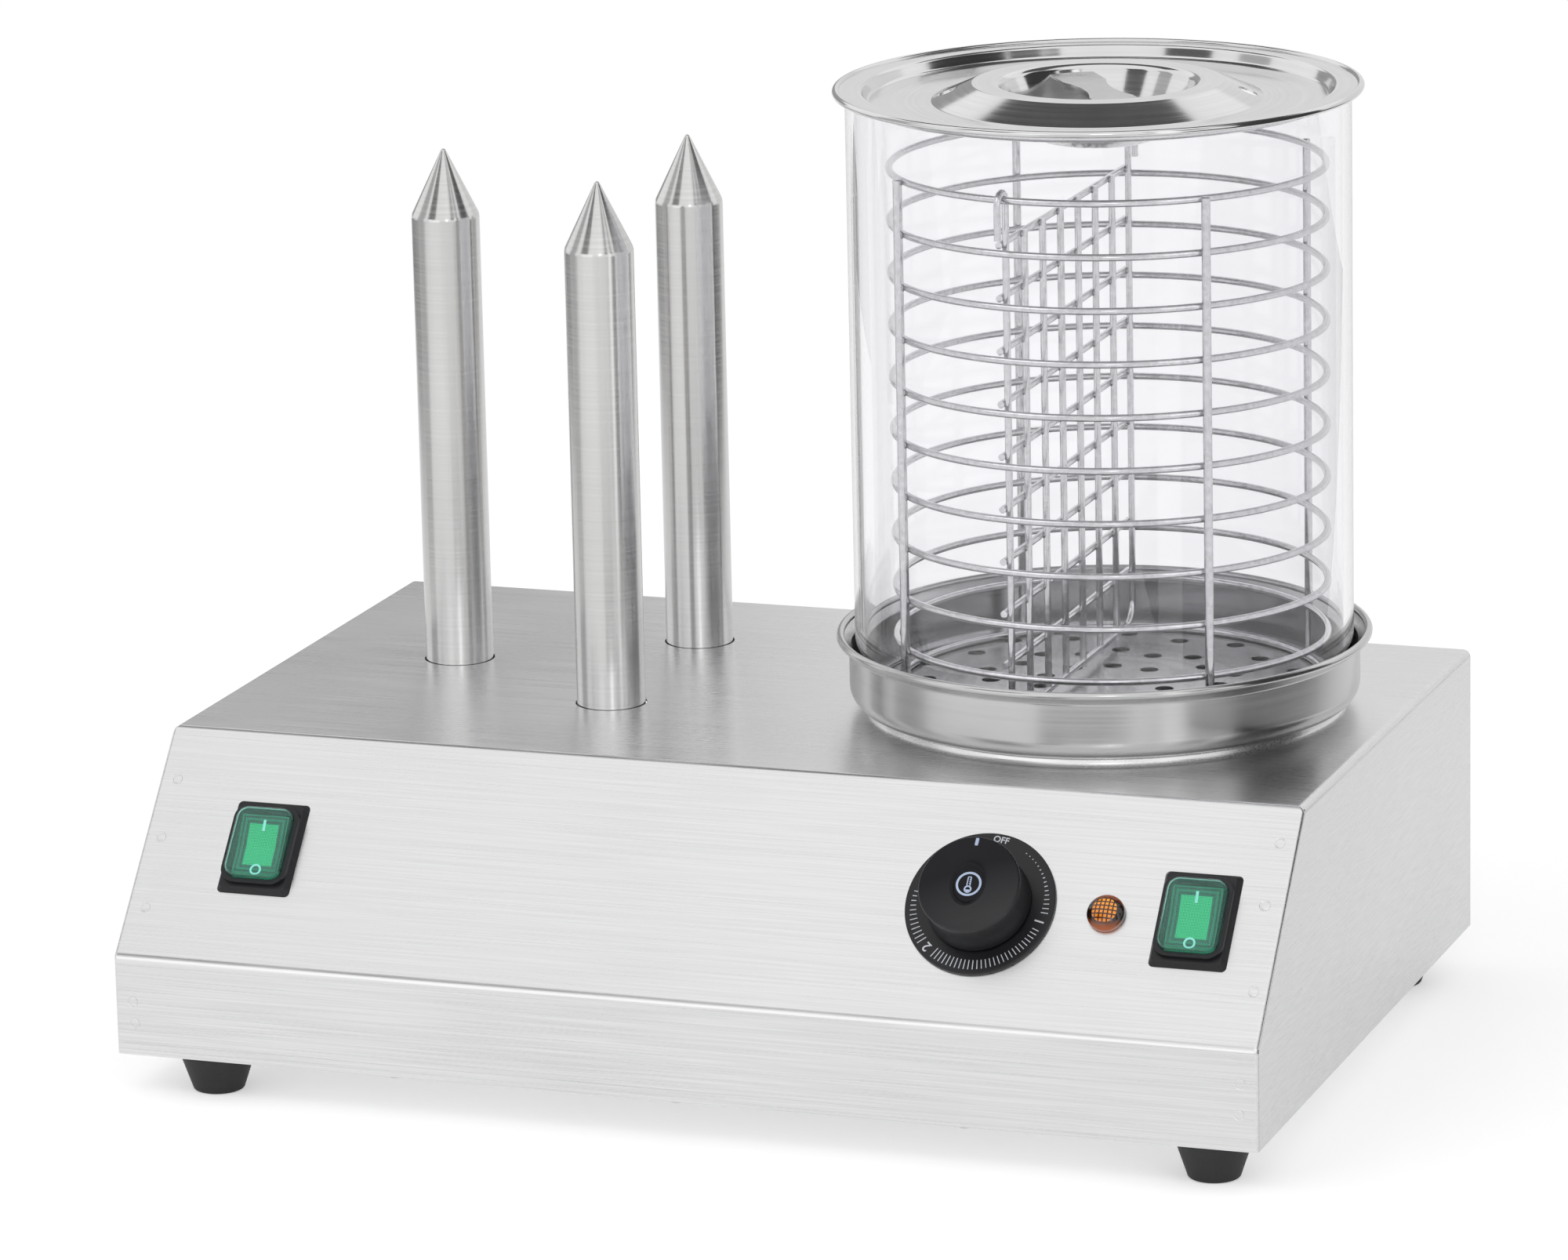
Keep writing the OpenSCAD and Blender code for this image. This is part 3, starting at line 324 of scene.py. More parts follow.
card("card_high_left", 0.12, (-1.9, -2.9, 2.5), 1.7, 1.9, upright=90, heading=-30)
card("card_high_right", 0.12, (3.1, -2.2, 2.6), 1.9, 2.0, upright=90, heading=50)

# %% [markdown]
# Brushed steel is the finish of this object. A belt leaves fine parallel scratches, so the pattern
# is a noise that is stretched a hundredfold along the belt's path. It moves the colour a little,
# the roughness more, and a very small bump more still, which spreads every reflection across the
# grain. The sides were brushed from front to back and everything else from left to right, so the
# surface's own direction picks the grain.

# %% Brushed casing steel
STEAMER = (117, 28.5)
AXIS = mm(*STEAMER, 0)


def brushed(name, fine, wide, colour=(0.862, 0.862, 0.868), roughness=0.3):
    """Sheet with straight grain: fine and wide stretch the noise across and along."""
    finish = Finish(name, Metallic=1.0)
    facing = finish.node("ShaderNodeNewGeometry", output="Normal")
    side = abs(finish.parts(facing)[0]) > 0.7
    across = finish.noise(finish.place((wide, fine, fine)), detail=3)
    along = finish.noise(finish.place((fine, wide * 4, fine), turn=(radians(12), 0, 0)), detail=3)
    grain = across * (1 - side) + along * side
    clouds = finish.noise(finish.place((1, 1, 1)), scale=9, detail=3)
    dark = tuple(0.86 * c for c in colour)
    share = finish.spread(grain + clouds * 0.35, 0.45, 0.85, 0.0, 1.0)
    finish.feed("Base Color", finish.mix(share, dark, colour))
    finish.feed("Roughness", grain * 0.22 + clouds * 0.08 + (roughness - 0.15))
    return finish, grain, side


casing_finish, grain, side = brushed("casing_steel", 1500, 14)
marks = casing_finish.place((260, 9, 260), turn=(radians(24), 0, 0))
scratch = casing_finish.noise(marks, detail=1) > 0.735
rows = casing_finish.noise(casing_finish.place((14, 420, 420)), detail=1) > 0.78
marked = scratch * side + rows * (1 - side) * 0.5
casing_finish.bump(grain - marked * 0.35, distance=mm(0.012), strength=0.6)
print("casing steel has", len(casing_finish.tree.nodes), "nodes")


# %% [markdown]
# The pan, the lid and the spikes were turned or polished on a spindle, so their grain runs round
# an axis. The distance from the axis and the height make rings of noise. The shader's own
# anisotropy does the rest: it stretches every highlight across the rings, which gives a turned
# cone its fans of light.


# %% Turned steel
def turned(name, centre, fine, colour, roughness, stretch, radial=1, **sockets):
    """Steel with grain round an upright axis; stretch draws highlights across the grain."""
    finish = Finish(name, Metallic=1.0, Anisotropic=stretch, Anisotropic_Rotation=0.25, **sockets)
    x, y, z = finish.parts(finish.place(centre=centre))
    radius = (x * x + y * y).root() * radial
    rings = finish.node(
        "ShaderNodeCombineXYZ", inputs={0: radius * fine, 1: z * fine, 2: (x + y) * 6}
    )
    grain = finish.noise(rings, detail=3)
    clouds = finish.noise(finish.place((1, 1, 0.4)), scale=40, detail=2)
    share = finish.spread(grain + clouds * 0.5, 0.5, 1.0, 0.0, 1.0)
    dark = tuple(0.88 * c for c in colour)
    finish.feed("Base Color", finish.mix(share, dark, colour))
    finish.feed("Roughness", grain * 0.12 + clouds * 0.1 + (roughness - 0.11))
    return finish, grain


pan_finish, grain = turned("pan_steel", AXIS, 450, (0.64, 0.64, 0.64), 0.22, 0.55)
pan_finish.bump(grain, distance=mm(0.006), strength=0.3)
lid_finish, grain = turned("lid_steel", AXIS, 700, (0.78, 0.78, 0.785), 0.13, 0.35)
lid_finish.bump(grain, distance=mm(0.004), strength=0.25)


def turned_spike(name, centre):
    finish, grain = turned(name, centre, 800, (0.74, 0.735, 0.73), 0.22, 0.7, radial=0)
    finish.bump(grain, distance=mm(0.006), strength=0.3)


turned_spike("spike_steel", AXIS)
print("three turned finishes")

# %% [markdown]
# The other metals are plainer. Drawn wire is bright with faint lengthwise smears, screws are dull
# zinc, and the parts inside the casing show only from behind and below.


# %% Plain metals
def plain_metal(name, colour, roughness, scale=120, depth=0.01):
    """Cast, drawn or plated metal with a mottled surface."""
    finish = Finish(name, Metallic=1.0)
    mottle = finish.noise(finish.place(), scale=scale, detail=4, roughness=0.6)
    dark = tuple(0.8 * c for c in colour)
    finish.feed("Base Color", finish.mix(finish.spread(mottle, 0.3, 0.7, 0, 1), dark, colour))
    finish.feed("Roughness", mottle * 0.2 + (roughness - 0.1))
    finish.bump(mottle, distance=mm(depth), strength=0.5)


plain_metal("chromed_wire", (0.70, 0.70, 0.71), 0.16, scale=400, depth=0.02)
plain_metal("bright_steel", (0.66, 0.66, 0.66), 0.3)
plain_metal("heater_aluminium", (0.70, 0.71, 0.72), 0.45)
plain_metal("sheath_steel", (0.35, 0.34, 0.33), 0.45)
plain_metal("thermostat_case", (0.55, 0.56, 0.58), 0.35)
plain_metal("copper", (0.72, 0.42, 0.26), 0.3)
plain_metal("tab_brass", (0.75, 0.60, 0.30), 0.3)
print("seven plain metals")

# %% [markdown]
# Plastics and rubber are not metals: their colour is their own, and the light lies on top of it.
# The knob has a fine spark-eroded grain that turns its highlight into a soft grey sheen, and the
# switch frames have a coarser one on their bevels. The print on the rockers has a painted glow.


# %% Plastics and rubber
def grained(name, colour, roughness, scale, depth, **sockets):
    """Moulded plastic or rubber with a fine random grain."""
    finish = Finish(name, **sockets)
    grain = finish.noise(finish.place(), scale=scale, detail=3, roughness=0.7)
    cloud = finish.noise(finish.place(), scale=60, detail=2)
    lighter = tuple(c * 1.6 + 0.004 for c in colour)
    share = finish.spread(cloud + grain, 0.7, 1.4, 0, 1)
    finish.feed("Base Color", finish.mix(share, colour, lighter))
    finish.feed("Roughness", grain * 0.2 + cloud * 0.1 + (roughness - 0.15))
    finish.bump(grain, distance=mm(depth), strength=0.8)
    return finish


BLACK, PRINT = (0.002, 0.002, 0.004), (0.62, 0.64, 0.68)
grained("foot_rubber", (0.016, 0.016, 0.018), 0.55, 900, 0.04)
grained("black_plastic", (0.004, 0.004, 0.006), 0.42, 1500, 0.05)
grained("knob_plastic", BLACK, 0.33, 2600, 0.05)
grained("block_plastic", (0.80, 0.78, 0.70), 0.4, 700, 0.02)
grained("mineral_pad", (0.74, 0.70, 0.60), 0.95, 500, 0.3)
grained("dial_plastic", BLACK, 0.33, 2600, 0.04)
grained("white_print", PRINT, 0.5, 1800, 0.01)
# painted glow: the rocker print glows, though it is only ink
lit = {"Emission_Color": (0.8, 0.85, 1.0), "Emission_Strength": 0.35}
grained("painted_glow_print", PRINT, 0.5, 1800, 0.01, **lit)
grained("pale_print", (0.42, 0.50, 0.66), 0.5, 1800, 0.01)
print("nine grained finishes")

# %% [markdown]
# Glass bends light, so a real glass shader is used, with the wall's true thickness in the mesh.
# A lamp's light can't find its way through bent glass in a short render. A Mix Shader lets those
# shadow rays pass straight through instead, which keeps the basket inside as bright as it is.


# %% Clear finishes
def see_through(name, colour, roughness, ior, **sockets):
    """Clear glass or plastic that lamps shine through."""
    finish = Finish(name, Base_Color=colour, IOR=ior, Transmission_Weight=1.0, **sockets)
    smear = finish.noise(finish.place((1, 1, 0.25)), scale=18, detail=3)
    finish.feed("Roughness", finish.spread(smear, 0.55, 0.75, roughness, roughness + 0.04))
    lit = finish.node("ShaderNodeLightPath").other("Is Shadow Ray")
    clear = finish.node("ShaderNodeBsdfTransparent", inputs={"Color": (*colour, 1)})
    body = Signal(finish, finish.shader.outputs[0])
    either = finish.node("ShaderNodeMixShader", inputs={0: lit, 1: body, 2: clear})
    finish.plug(finish.tree.nodes["Material Output"].inputs["Surface"], either)
    return finish


glass_finish = see_through("clear_glass", (0.957, 0.953, 0.968), 0.0, 1.47)
cap_finish = see_through("clear_cap", (0.46, 0.88, 0.76), 0.02, 1.35)
cap_finish.feed("Transmission Weight", 0.95)
print("clear finishes:", glass_finish.material.name, cap_finish.material.name)

# %% [markdown]
# The lamp's lens is moulded amber plastic over a grid of small square prisms. The grid is drawn
# in the lens's own plane: a Mapping turns the coordinates up the slope, and two saw-tooth waves
# make the squares. The squares are lighter up the slope and to the right, a painted highlight, and
# have a painted glow; the dark rim is painted orange at its top and bottom as highlights.

# %% Amber lens
LEFT, FRONT, BACK = -236, -164.5, 152.5
STRIP_TOP, TOP, SLOPE_BACK = 56.5, 134, -97.5
RUN, RISE = SLOPE_BACK - FRONT, TOP - STRIP_TOP
SLOPE = atan2(RUN, RISE)
UPRIGHT_TURN = pi / 2 - SLOPE
CONTROL_UP = 51.2
SWITCH_X = {"left": 52.1, "right": 438.3}
DIAL_X, LAMP_X = 352, 402.7


def slope_point(x, up, out):
    """A point on the sloping front, in mm from the left edge, up the slope and out of it."""
    back = up * sin(SLOPE) - out * cos(SLOPE)
    return mm(x + LEFT, back + FRONT, STRIP_TOP + up * cos(SLOPE) + out * sin(SLOPE))


def control_spot(x):
    """The middle of a control; all of them sit equally far up the slope."""
    return slope_point(x, CONTROL_UP, 0)


def slope_axes(finish, centre):
    """The distances from a centre along the slope and up it."""
    turn = {"Vector": finish.place(centre=centre), "Angle": -UPRIGHT_TURN}
    flat = finish.node("ShaderNodeVectorRotate", {"rotation_type": "X_AXIS"}, turn)
    return finish.parts(flat)[:2]


def squares(x, y, pitch, bar):
    """1 in the squares of a grid on the slope and 0 on its bars."""
    cells = [abs((c / mm(pitch)).fraction() - 0.5) for c in (x, y)]
    return (cells[0] < 0.5 - bar) * (cells[1] < 0.5 - bar)


amber_finish = Finish("amber_lens", Coat_Weight=0.6, Coat_Roughness=0.05)
x, y = slope_axes(amber_finish, control_spot(LAMP_X))
inside = squares(x, y, 1.7, 0.17)
reach = (x * x + y * y).root()
# painted highlight: the squares get lighter up the slope and to the right
glow = amber_finish.spread(y * 90 + x * 30, -0.5, 0.6, 0.25, 1.0)
squares_painted_highlight = amber_finish.mix(glow, (0.55, 0.12, 0.01), (1.0, 0.38, 0.01))
prisms = amber_finish.mix(inside, (0.05, 0.006, 0.0), squares_painted_highlight)
# painted highlights: the dark rim turns orange at its top and bottom
rim = amber_finish.spread(abs(y) + reach, mm(9.5), mm(14), 0.0, 1.0)
edge = amber_finish.mix(rim, (0.012, 0.003, 0.001), (0.50, 0.10, 0.005))
amber_finish.feed("Base Color", amber_finish.mix(reach > mm(5.1), prisms, edge))
# painted glow: the squares glow, with the same painted highlight
amber_finish.feed("Emission Color", amber_finish.mix(reach > mm(5.1), prisms, (0.0, 0.0, 0.0)))
amber_finish.feed("Emission Strength", 0.35)
amber_finish.feed("Roughness", inside * -0.05 + 0.2)
amber_finish.bump(inside, distance=mm(0.15), strength=0.5)
print("lamp at", [round(c, 4) for c in control_spot(LAMP_X)])

# %% [markdown]
# Under each clear cover sits a translucent green rocker with a bright window of fine mesh, whose
# glow is painted, framed by two dark outlines. All of it is drawn on the slope from the middle of
# the switch: the distance to a rectangle's edge makes the frames, and a small grid makes the mesh.

# %% Green rocker
def rocker_paint(name, side):
    finish = Finish(name, Coat_Weight=0.5, Coat_Roughness=0.1)
    x, y = slope_axes(finish, control_spot(SWITCH_X[side]))
    mesh = squares(x, y, 0.62, 0.14)
    wide = (abs(x) - mm(6.1)).larger(abs(y) - mm(8.5))
    window = wide < 0
    outline = (abs(wide - mm(0.9)) < mm(0.45)) * 0.8 + (abs(wide - mm(2.7)) < mm(0.4))
    green = finish.mix(mesh, (0.01, 0.26, 0.10), (0.06, 0.72, 0.34))
    base = finish.mix(outline, (0.004, 0.17, 0.10), (0.0, 0.002, 0.002))
    finish.feed("Base Color", finish.mix(window, base, green))
    # painted glow: the green mesh window glows, though the rocker is off
    finish.feed("Emission Color", finish.mix(window, (0.0, 0.0, 0.0), green))
    finish.feed("Emission Strength", 0.2)
    finish.feed("Roughness", mesh * 0.2 + 0.25)
    finish.bump(mesh * window, distance=mm(0.1), strength=0.4)


rocker_paint("green_rocker", "right")
rocker_paint("green_rocker_left", "left")
print("two rockers painted, their windows framed")

# %% [markdown]
# The knob's face has a soft sheen that is strongest towards its lower edge, and none in the oval
# dish round the badge. The sheen is a rough coat whose weight is drawn on the face.

# %% Knob sheen
coat = {"Coat_Roughness": 0.55, "Specular_IOR_Level": 0.22}
knob_finish = grained("knob_face", BLACK, 0.33, 2600, 0.05, **coat)
x, y = slope_axes(knob_finish, control_spot(DIAL_X))
oval = (x / mm(7.2)) * (x / mm(7.2)) + (y / mm(9.6)) * (y / mm(9.6))
sheen = knob_finish.spread(y * -1 + x * 0.4, mm(-6), mm(16), 0.05, 0.9)
knob_finish.feed("Coat Weight", (oval > 1) * sheen)
print("knob sheen about", [round(c, 3) for c in control_spot(DIAL_X)])

# %% [markdown]
# Every solid of the frame names the finish it takes, and the finishes above have those names.
# Handing them out dresses the whole object at once, inside parts included, and leaves the visible
# pieces to be modelled.

# %% Dress the solids
for name, solid in frame["nodes"].items():
    solid.material_slots[0].material = looks[slot_of_node[name]]
frame["nodes"]["left_switch_rocker"].material_slots[0].material = looks["green_rocker_left"]
print(len(frame["nodes"]), "solids dressed, from", len(looks), "finishes")

# %% [markdown]
# Pieces are modelled as by hand, with Blender's own operators. An operator acts on whatever is
# selected, so each step first deselects everything. These helpers hold the moves that come back:
# picking edges or faces by a test, adding a modifier and applying it, cutting with another mesh,
# and settling a finished piece, which puts its place into its mesh and joins it to its body.


# %% Helpers for selecting
def only(*pieces):
    """Selects these objects and nothing else; the first is the active one."""
    bpy.ops.object.select_all(action="DESELECT")
    for piece in pieces:
        piece.select_set(True)
    bpy.context.view_layer.objects.active = pieces[0]
    return pieces[0]


def pick(piece, kind, test):
    """Goes into edit mode with the edges or faces whose middle and direction pass the test."""
    only(piece)
    bpy.ops.object.mode_set(mode="EDIT")
    bpy.ops.mesh.select_mode(type=kind)
    bpy.ops.mesh.select_all(action="DESELECT")
    bpy.ops.object.mode_set(mode="OBJECT")
    spots = [vertex.co for vertex in piece.data.vertices]
    if kind == "FACE":
        for face in piece.data.polygons:
            face.select = test(face.center, face.normal)
    else:
        for edge in piece.data.edges:
            start, end = [spots[i] for i in edge.vertices]
            edge.select = test((start + end) / 2, (end - start).normalized())
    bpy.ops.object.mode_set(mode="EDIT")


def done():
    bpy.ops.object.mode_set(mode="OBJECT")


# %% Helpers for finishing a mesh
def modify(piece, kind, **settings):
    """Adds a modifier and applies it."""
    only(piece)
    modifier = piece.modifiers.new("step", kind)
    for name, value in settings.items():
        setattr(modifier, name, value)
    bpy.ops.object.modifier_apply(modifier="step")


def freeze(piece):
    """Puts an object's place, turn and size into its mesh."""
    only(piece)
    bpy.ops.object.transform_apply(location=True, rotation=True, scale=True)


def join(pieces):
    for piece in pieces:
        freeze(piece)
    only(*pieces)
    if len(pieces) > 1:
        bpy.ops.object.join()
    return pieces[0]


def drop(*pieces):
    """Removes models and cutters that have done their work."""
    for piece in pieces:
        bpy.data.objects.remove(piece)


def cut(piece, *cutters, operation="DIFFERENCE"):
    """Cuts each cutter out of a piece, or unites them, and removes it."""
    for cutter in cutters:
        modify(piece, "BOOLEAN", object=cutter, operation=operation, solver="EXACT")
        drop(cutter)


def smooth(piece, angle=35, flats=False):
    """Smooth shading up to an angle; flats keeps large faces even beside small bends."""
    only(piece)
    bpy.ops.object.shade_smooth_by_angle(angle=radians(angle))
    if flats:
        modify(piece, "WEIGHTED_NORMAL", keep_sharp=True)


def settle(piece, name, body, slot, replaces=(), look=None):
    """A finished piece: named, frozen, dressed and riding on its body."""
    freeze(piece)
    piece.name = name
    piece.data.name = name
    piece.data.materials.clear()
    piece.data.materials.append(looks[look or slot])
    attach(piece, body)
    if replaces:
        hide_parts(*replaces)
    size = piece.dimensions * 1000
    print(f"{name}: {len(piece.data.polygons)} faces, {size.x:.1f} x {size.y:.1f} x {size.z:.1f} mm")
    return piece


# %% [markdown]
# A lathe piece starts as a plane that is merged to one vertex. The vertex is extruded along an
# outline and the outline is spun about the upright axis. Doubles along the seam and on the axis
# are merged, and the normals are made to face out. A wire starts as such a thread of edges too.


# %% Thread, lathe, cylinder and box
def arc(centre, radius, start, end, steps=6):
    """Points of an arc in an outline, in mm, from a start angle to an end angle."""
    turns = [radians(start + (end - start) * i / steps) for i in range(steps + 1)]
    return [(centre[0] + radius * cos(t), centre[1] + radius * sin(t)) for t in turns]


def around(reach, turn, z):
    """A point at a reach and a height in mm, turned round the origin."""
    return mm(reach * cos(turn), reach * sin(turn), z)


def thread(points):
    """One vertex, extruded as edges through points in mm. It is left in edit mode."""
    bpy.ops.object.select_all(action="DESELECT")
    bpy.ops.mesh.primitive_plane_add(size=0.001)
    bpy.ops.object.mode_set(mode="EDIT")
    bpy.ops.mesh.select_mode(type="VERT")
    bpy.ops.mesh.select_all(action="SELECT")
    bpy.ops.mesh.merge(type="CENTER")
    bpy.ops.transform.translate(value=mm(*points[0]))
    for last, point in zip(points, points[1:]):
        step = mm(*(end - start for start, end in zip(last, point)))
        bpy.ops.mesh.extrude_region_move(TRANSFORM_OT_translate={"value": step})
    return bpy.context.object


def lathe(outline, steps=96, angle=35):
    """Spins an outline of (radius, height) points in mm about the upright axis."""
    piece = thread([(radius, 0, height) for radius, height in outline])
    bpy.ops.mesh.select_all(action="SELECT")
    bpy.ops.mesh.spin(steps=steps, angle=2 * pi, center=(0, 0, 0), axis=(0, 0, 1))
    bpy.ops.mesh.select_all(action="SELECT")
    bpy.ops.mesh.remove_doubles(threshold=0.000002)
    bpy.ops.mesh.normals_make_consistent(inside=False)
    done()
    smooth(piece, angle, flats=True)
    return piece


def washer(inner, outer, low, high, steps):
    """A flat ring with square edges."""
    line = [(inner, low), (outer, low), (outer, high), (inner, high), (inner, low)]
    return lathe(line, steps=steps)


def cylinder(centre, radius, length, turn=(0, 0, 0), vertices=48):
    """A cylinder about its centre, all in mm, turned in radians."""
    bpy.ops.object.select_all(action="DESELECT")
    bpy.ops.mesh.primitive_cylinder_add(
        vertices=vertices, radius=mm(radius), depth=mm(length), location=centre, rotation=turn
    )
    return bpy.context.object


def box(centre, size, turn=(0, 0, 0)):
    """A block about its centre, with its size in mm."""
    bpy.ops.object.select_all(action="DESELECT")
    bpy.ops.mesh.primitive_cube_add(size=1, location=centre, rotation=turn, scale=mm(*size))
    return bpy.context.object


def copy_of(piece, place=(0, 0, 0), turn=(0, 0, 0), stretch=(1, 1, 1)):
    """A copy with its own mesh, placed, turned and stretched."""
    twin = piece.copy()
    twin.data = piece.data.copy()
    bpy.context.scene.collection.objects.link(twin)
    twin.location, twin.rotation_euler, twin.scale = place, turn, stretch
    return twin


# %% [markdown]
# The casing is one folded sheet with a sloping front. It starts as a block that is cut by the
# plane of the slope. The bends are bevelled by weight, because each has its own radius. A smaller
# block of the same shape hollows it out, and flatter blocks clear the rear and the base down to
# the lips that the panels are screwed to.

# %% Casing block
def wedge(inset, low, back):
    """The casing's outline, inset on every side in mm, from a floor height to a back."""
    front, top = FRONT + inset, TOP - inset
    middle = mm(0, (front + back) / 2, (low + top) / 2)
    piece = box(middle, (-2 * (LEFT + inset), back - front, top - low))
    freeze(piece)
    bpy.ops.object.mode_set(mode="EDIT")
    bpy.ops.mesh.select_all(action="SELECT")
    place, way = slope_point(-LEFT, 0, -inset), (0, -cos(SLOPE), sin(SLOPE))
    bpy.ops.mesh.bisect(plane_co=place, plane_no=way, use_fill=True, clear_outer=True)
    done()
    return piece


def weigh(piece, weight, test):
    pick(piece, "EDGE", test)
    bpy.ops.transform.edge_bevelweight(value=weight)
    done()


def bend_at(y, z):
    """Passes edges along the width near this depth and height in mm."""
    return lambda spot, way: abs(way.x) > 0.99 and (spot - mm(0, y, z)).yz.length < 0.001


casing = wedge(0, 16, BACK)
weigh(casing, 0.55, bend_at(SLOPE_BACK, TOP))
weigh(casing, 0.6, bend_at(FRONT, STRIP_TOP))
weigh(casing, 1.0, lambda spot, way: spot.z > mm(133.9) and abs(way.y) > 0.99)
weigh(casing, 0.5, lambda spot, way: abs(way.y) < 0.99 and abs(way.x) < 0.1 and spot.y < mm(-98))
modify(casing, "BEVEL", width=mm(3), segments=4, limit_method="WEIGHT")
print("casing block has", len(casing.data.polygons), "faces")

# %% Hollow with lips
LIP = 9
cut(casing, wedge(1, 18, 150.5))
rear_recess = box(mm(0, BACK, 74), (470, 2, 118))
base_recess = box(mm(0, -5, 16), (470, 317, 2))
rear_window = box(mm(0, 151.5, 75.5), (470 - 2 * LIP, 6, 115 - 2 * LIP))
base_window = box(mm(0, -6.5, 17.5), (470 - 2 * LIP, 314 - 2 * LIP, 4))
cut(casing, rear_recess, base_recess, rear_window, base_window)
print("hollow casing has", len(casing.data.polygons), "faces")

# %% [markdown]
# The same cut then makes the openings. The spikes stand in round holes with a thin dark gap about
# them, and the controls cover theirs. The front is folded over the edge of the end panels: a slit
# in each side face shows where it ends, and small holes relieve the corners of the bends. Spot
# welds hold it, and each leaves a ring mark.

# %% Openings
SPIKE_SPOTS = [(-165, 34.5), (-78, -17.5), (-78, 86.5)]
openings = [cylinder(mm(x, y, 133), 14.55, 6, vertices=96) for x, y in SPIKE_SPOTS]
openings.append(cylinder(mm(*STEAMER, 133), 96.2, 6, vertices=128))
flat_on_slope = (UPRIGHT_TURN, 0, 0)
for x in SWITCH_X.values():
    openings.append(box(control_spot(x), (27, 36, 8), flat_on_slope))
openings.append(cylinder(control_spot(DIAL_X), 5.1, 8, flat_on_slope))
openings.append(cylinder(control_spot(LAMP_X), 6.1, 8, flat_on_slope))
SLOPE_LENGTH = sqrt(RUN**2 + RISE**2)
for x in (0, -2 * LEFT):
    for up, radius in ((0.4, 0.9), (SLOPE_LENGTH - 0.8, 0.6)):
        spot = slope_point(x, up, -1.8)
        openings.append(cylinder(spot, radius, 2.4, vertices=20, turn=(0, pi / 2, 0)))
cut(casing, join(openings))
print("casing with openings has", len(casing.data.polygons), "faces")

# %% Seams and weld marks
seams = []
for x in (LEFT, -LEFT):
    edge = slope_point(x - LEFT, SLOPE_LENGTH / 2, -1.75)
    seams.append(box(edge, (0.8, SLOPE_LENGTH - 4, 0.25), flat_on_slope))
    seams.append(box(mm(x, FRONT + 1.75, 36), (0.8, 0.25, 39)))
seams.append(box(mm(0, FRONT, 21), (466, 0.3, 0.2)))
cut(casing, *seams)
WELDS = [(465, 86.6), (464, 60), (466, 24.1), (7.5, 78.8), (7, 53), (8, 22)]
STRIP_WELDS = [(465, 42.8), (464.5, 30.4), (7.5, 37.8), (8, 29)]
welds = [(slope_point(x, up, 0.12), flat_on_slope) for x, up in WELDS]
welds += [(mm(x + LEFT, FRONT - 0.12, z), (pi / 2, 0, 0)) for x, z in STRIP_WELDS]
rings = []
for spot, turn in welds:
    bpy.ops.mesh.primitive_torus_add(
        major_radius=mm(1.9), minor_radius=mm(0.45), major_segments=24, minor_segments=6,
        location=spot, rotation=turn,
    )
    rings.append(bpy.context.object)
cut(casing, join(rings))
print("casing with seams has", len(casing.data.polygons), "faces")

# %% [markdown]
# Round the pan the top sheet is pressed up into a low boss. It is spun from its outline, with a
# wide fillet at its foot, and joined to the folded sheet.

# %% Pressed boss
boss_line = [(80, 136.5), (80, 137.5)]
boss_line += arc((93.6, 136.3), 1.2, 90, 8)
boss_line += arc((97.0, 136.1), 2.1, 188, 268)
boss_line += [(97.9, 133.6), (95.2, 133.2), (93.8, 136.5), (80, 136.5)]
boss = lathe(boss_line, steps=144)
boss.location = AXIS
casing = join([casing, boss])
smooth(casing, 32, flats=True)
settle(casing, "casing_sheet", "root", "casing_steel", replaces=["casing_shell"])

# %% [markdown]
# The steamer stands on the boss. Pan, glass and lid are all lathe pieces. The pan's wall rises
# from a round corner, flares and ends in a rolled bead. The glass is a plain tube whose rims are
# fire-polished round, which is what makes them catch the light. A steam plate with ten rays of
# drilled holes stands in the pan.

# %% Pan
pan_line = [(0, 137.5)] + arc((94.5, 145.5), 8, -90, 0, 10)
pan_line += [(102.5, 160.4), (102.8, 161.4), (105.4, 164.2)]
pan_line += arc((105.9, 165.4), 1.6, -120, 200, 18)
pan_line += [(101.7, 162.2), (101.3, 161.0)] + arc((94.5, 145.5), 6.8, 0, -90, 10)
pan_line += [(0, 138.7)]
pan = lathe(pan_line, steps=160)
pan.location = AXIS
settle(pan, "pan", "root", "pan_steel", replaces=["water_pan"])

# %% Glass
GLASS_LOW, GLASS_TOP = 141.236, 385.636
glass_line = arc((96.9, GLASS_LOW + 0.9), 0.9, 180, 270, 4)
glass_line += arc((99.1, GLASS_LOW + 0.9), 0.9, 270, 360, 4)
glass_line += arc((99.1, GLASS_TOP - 0.9), 0.9, 0, 90, 4)
glass_line += arc((96.9, GLASS_TOP - 0.9), 0.9, 90, 180, 4)
glass = lathe(glass_line + glass_line[:1], steps=192, angle=50)
glass.location = AXIS
settle(glass, "glass", "glass", "clear_glass", replaces=["glass_cylinder"])

# %% Steam plate
plate_line = [(0, 144.0)] + arc((90, 142.0), 2, 90, 0, 6) + [(92, 139.2)]
plate_line += [(91.2, 139.2)] + arc((90, 142.0), 1.2, 0, 90, 6) + [(0, 143.2)]
steam_plate = lathe(plate_line, steps=144)
DRILL, PLATE_MIDDLE = 3.75, 143.6
drills = [cylinder(mm(0, 0, PLATE_MIDDLE), DRILL, 4, vertices=24)]
for ray in range(10):
    for turn, reaches in ((64 + 36 * ray, (26.3, 52.6, 78.9)), (46 + 36 * ray, (46.2, 72.5))):
        for reach in reaches:
            spot = around(reach, radians(turn), PLATE_MIDDLE)
            drills.append(cylinder(spot, DRILL, 4, vertices=24))
cut(steam_plate, join(drills))
smooth(steam_plate, 30, flats=True)
steam_plate.location = AXIS
settle(steam_plate, "perforated_plate", "steam_plate", "pan_steel", replaces=["steam_plate"])

